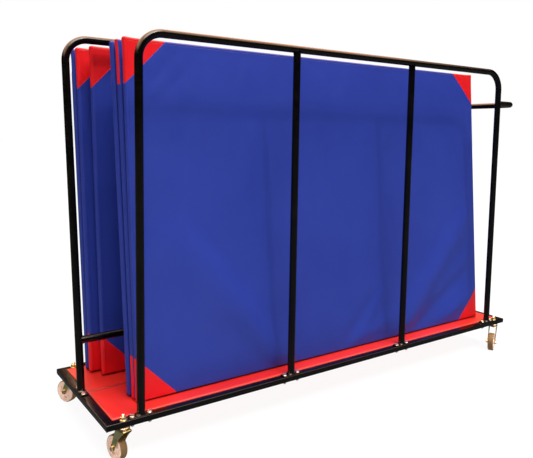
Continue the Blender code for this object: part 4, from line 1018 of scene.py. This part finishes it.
def cover_shapes(front_lift, back_lift):
    """Closed cover of a mat in its own frame: x along, y through, z up from its foot.

    Each face is a grid whose depth is the half thickness and its lift. The rim is one band round
    both: quarter circles from each face's border to a side that bulges a little, and quarter
    circles again round the corners.
    """
    grid_x, grid_z, a, b = face_places()
    depth = face_depth(a, b)
    x, z = grid_x[:, 0], grid_z[0]
    front = np.stack([grid_x, -depth - front_lift, grid_z], axis=-1)
    back = np.stack([grid_x, depth + back_lift, grid_z], axis=-1)
    quarter = np.radians(np.linspace(0.0, 90.0, 5))
    ends = ((x[-1], z[0], -90), (x[-1], z[-1], 0), (x[0], z[-1], 90), (x[0], z[0], 180))
    sides = (np.stack([x[1:-1], np.full(len(x) - 2, z[0])], axis=-1),
             np.stack([np.full(len(z) - 2, x[-1]), z[1:-1]], axis=-1),
             np.stack([x[-2:0:-1], np.full(len(x) - 2, z[-1])], axis=-1),
             np.stack([np.full(len(z) - 2, x[0]), z[-2:0:-1]], axis=-1))
    places, ways = [], []
    for side, (corner_x, corner_z, start) in zip(sides, ends):
        way = np.radians(start)
        places += [side, np.tile([[corner_x, corner_z]], (5, 1))]
        ways += [np.tile([[np.cos(way), np.sin(way)]], (len(side), 1)),
                 np.stack([np.cos(way + quarter), np.sin(way + quarter)], axis=-1)]
    places, ways = np.vstack(places), np.vstack(ways)
    round_out, round_y = MAT_EDGE * np.sin(quarter), RIM_HALF - MAT_EDGE * (1 - np.cos(quarter))
    out = np.concatenate([round_out, [MAT_EDGE + RIM_BULGE] * 2, round_out[::-1]])
    through = np.concatenate([-round_y, [-RIM_FLAT, RIM_FLAT], round_y[::-1]])
    spots = places[None] + out[:, None, None] * ways[None]
    rim_y = np.broadcast_to(through[:, None], spots.shape[:2])
    rim = np.stack([spots[..., 0], rim_y, spots[..., 1]], axis=-1)
    shapes = [open_sheet(front), open_sheet(back), skin(rim, capped=False)]
    panel = np.vstack([np.column_stack([grid_x.ravel(), grid_z.ravel(), np.full(grid_x.size, -1.0)]),
                       np.column_stack([grid_x.ravel(), grid_z.ravel(), np.full(grid_x.size, 1.0)]),
                       np.column_stack([np.clip(rim[..., 0], 0, MAT_LENGTH).ravel(),
                                        np.clip(rim[..., 2], 0, MAT_HEIGHT).ravel(),
                                        (rim[..., 1] / RIM_HALF).ravel()])])
    return shapes, panel


def stood_up(points, left, back_edge, lean, bend, stand_out):
    """Takes a mat's points from its own frame to its place, with its ears and its bend.

    Ears: x and z move out by stand_out * exp(-distance from the corner / 12 mm). Bend: y moves by
    bend * t^2 * exp(-x / 0.5 m), where t runs from 0 at 0.65 m up the mat to 1 at its top.
    """
    x, through, up = points[:, 0], points[:, 1], points[:, 2]
    right, high = x > MAT_LENGTH / 2, up > MAT_HEIGHT / 2
    near = np.hypot(x - MAT_LENGTH * right, up - MAT_HEIGHT * high)
    ear = stand_out * np.exp(-near / EAR_REACH) * np.where(high, 1.0, 0.3)
    share = np.clip((up - BEND_START) / (MAT_HEIGHT - BEND_START), 0.0, 1.0)
    shift = bend * share ** 2 * np.exp(-x / BEND_REACH)
    through, up = through - SLAB_BACK + shift, up - FOOT_TUCK + ear * np.where(high, 1, -1)
    tilt = radians(lean)
    return np.stack([left + x + ear * np.where(right, 1, -1),
                     back_edge + through * cos(tilt) + up * sin(tilt),
                     MAT_FOOT - through * sin(tilt) + up * cos(tilt)], axis=-1)


puckers = cover_puckers()
first_folds = fold_lift(*face_places())
covers = {cover: vinyl(f"blue_vinyl_{cover}", cover != "plain", cover == "red_corners")
          for cover in ("red_corners", "red_ends", "plain")}
for name, (left, back_edge, lean, cover, bend, stand_out) in MATS.items():
    turned_over = name in ("mat_front_2", "mat_rear_1")
    front_lift = puckers[::-1] if turned_over else puckers
    if name == "mat_front_1":
        front_lift = front_lift + first_folds
    shapes, panel = cover_shapes(front_lift, puckers if turned_over else puckers[::-1])
    leaned = [(stood_up(points, left, back_edge, lean, bend, stand_out), faces) for points, faces in shapes]
    mat = piece(name, leaned, covers[cover], name + "_body", sharp=60.0,
                marks={"panel": panel}, weld=True)
    finer = mat.modifiers.new("Subdivision", "SUBSURF")
    finer.levels = finer.render_levels = 1
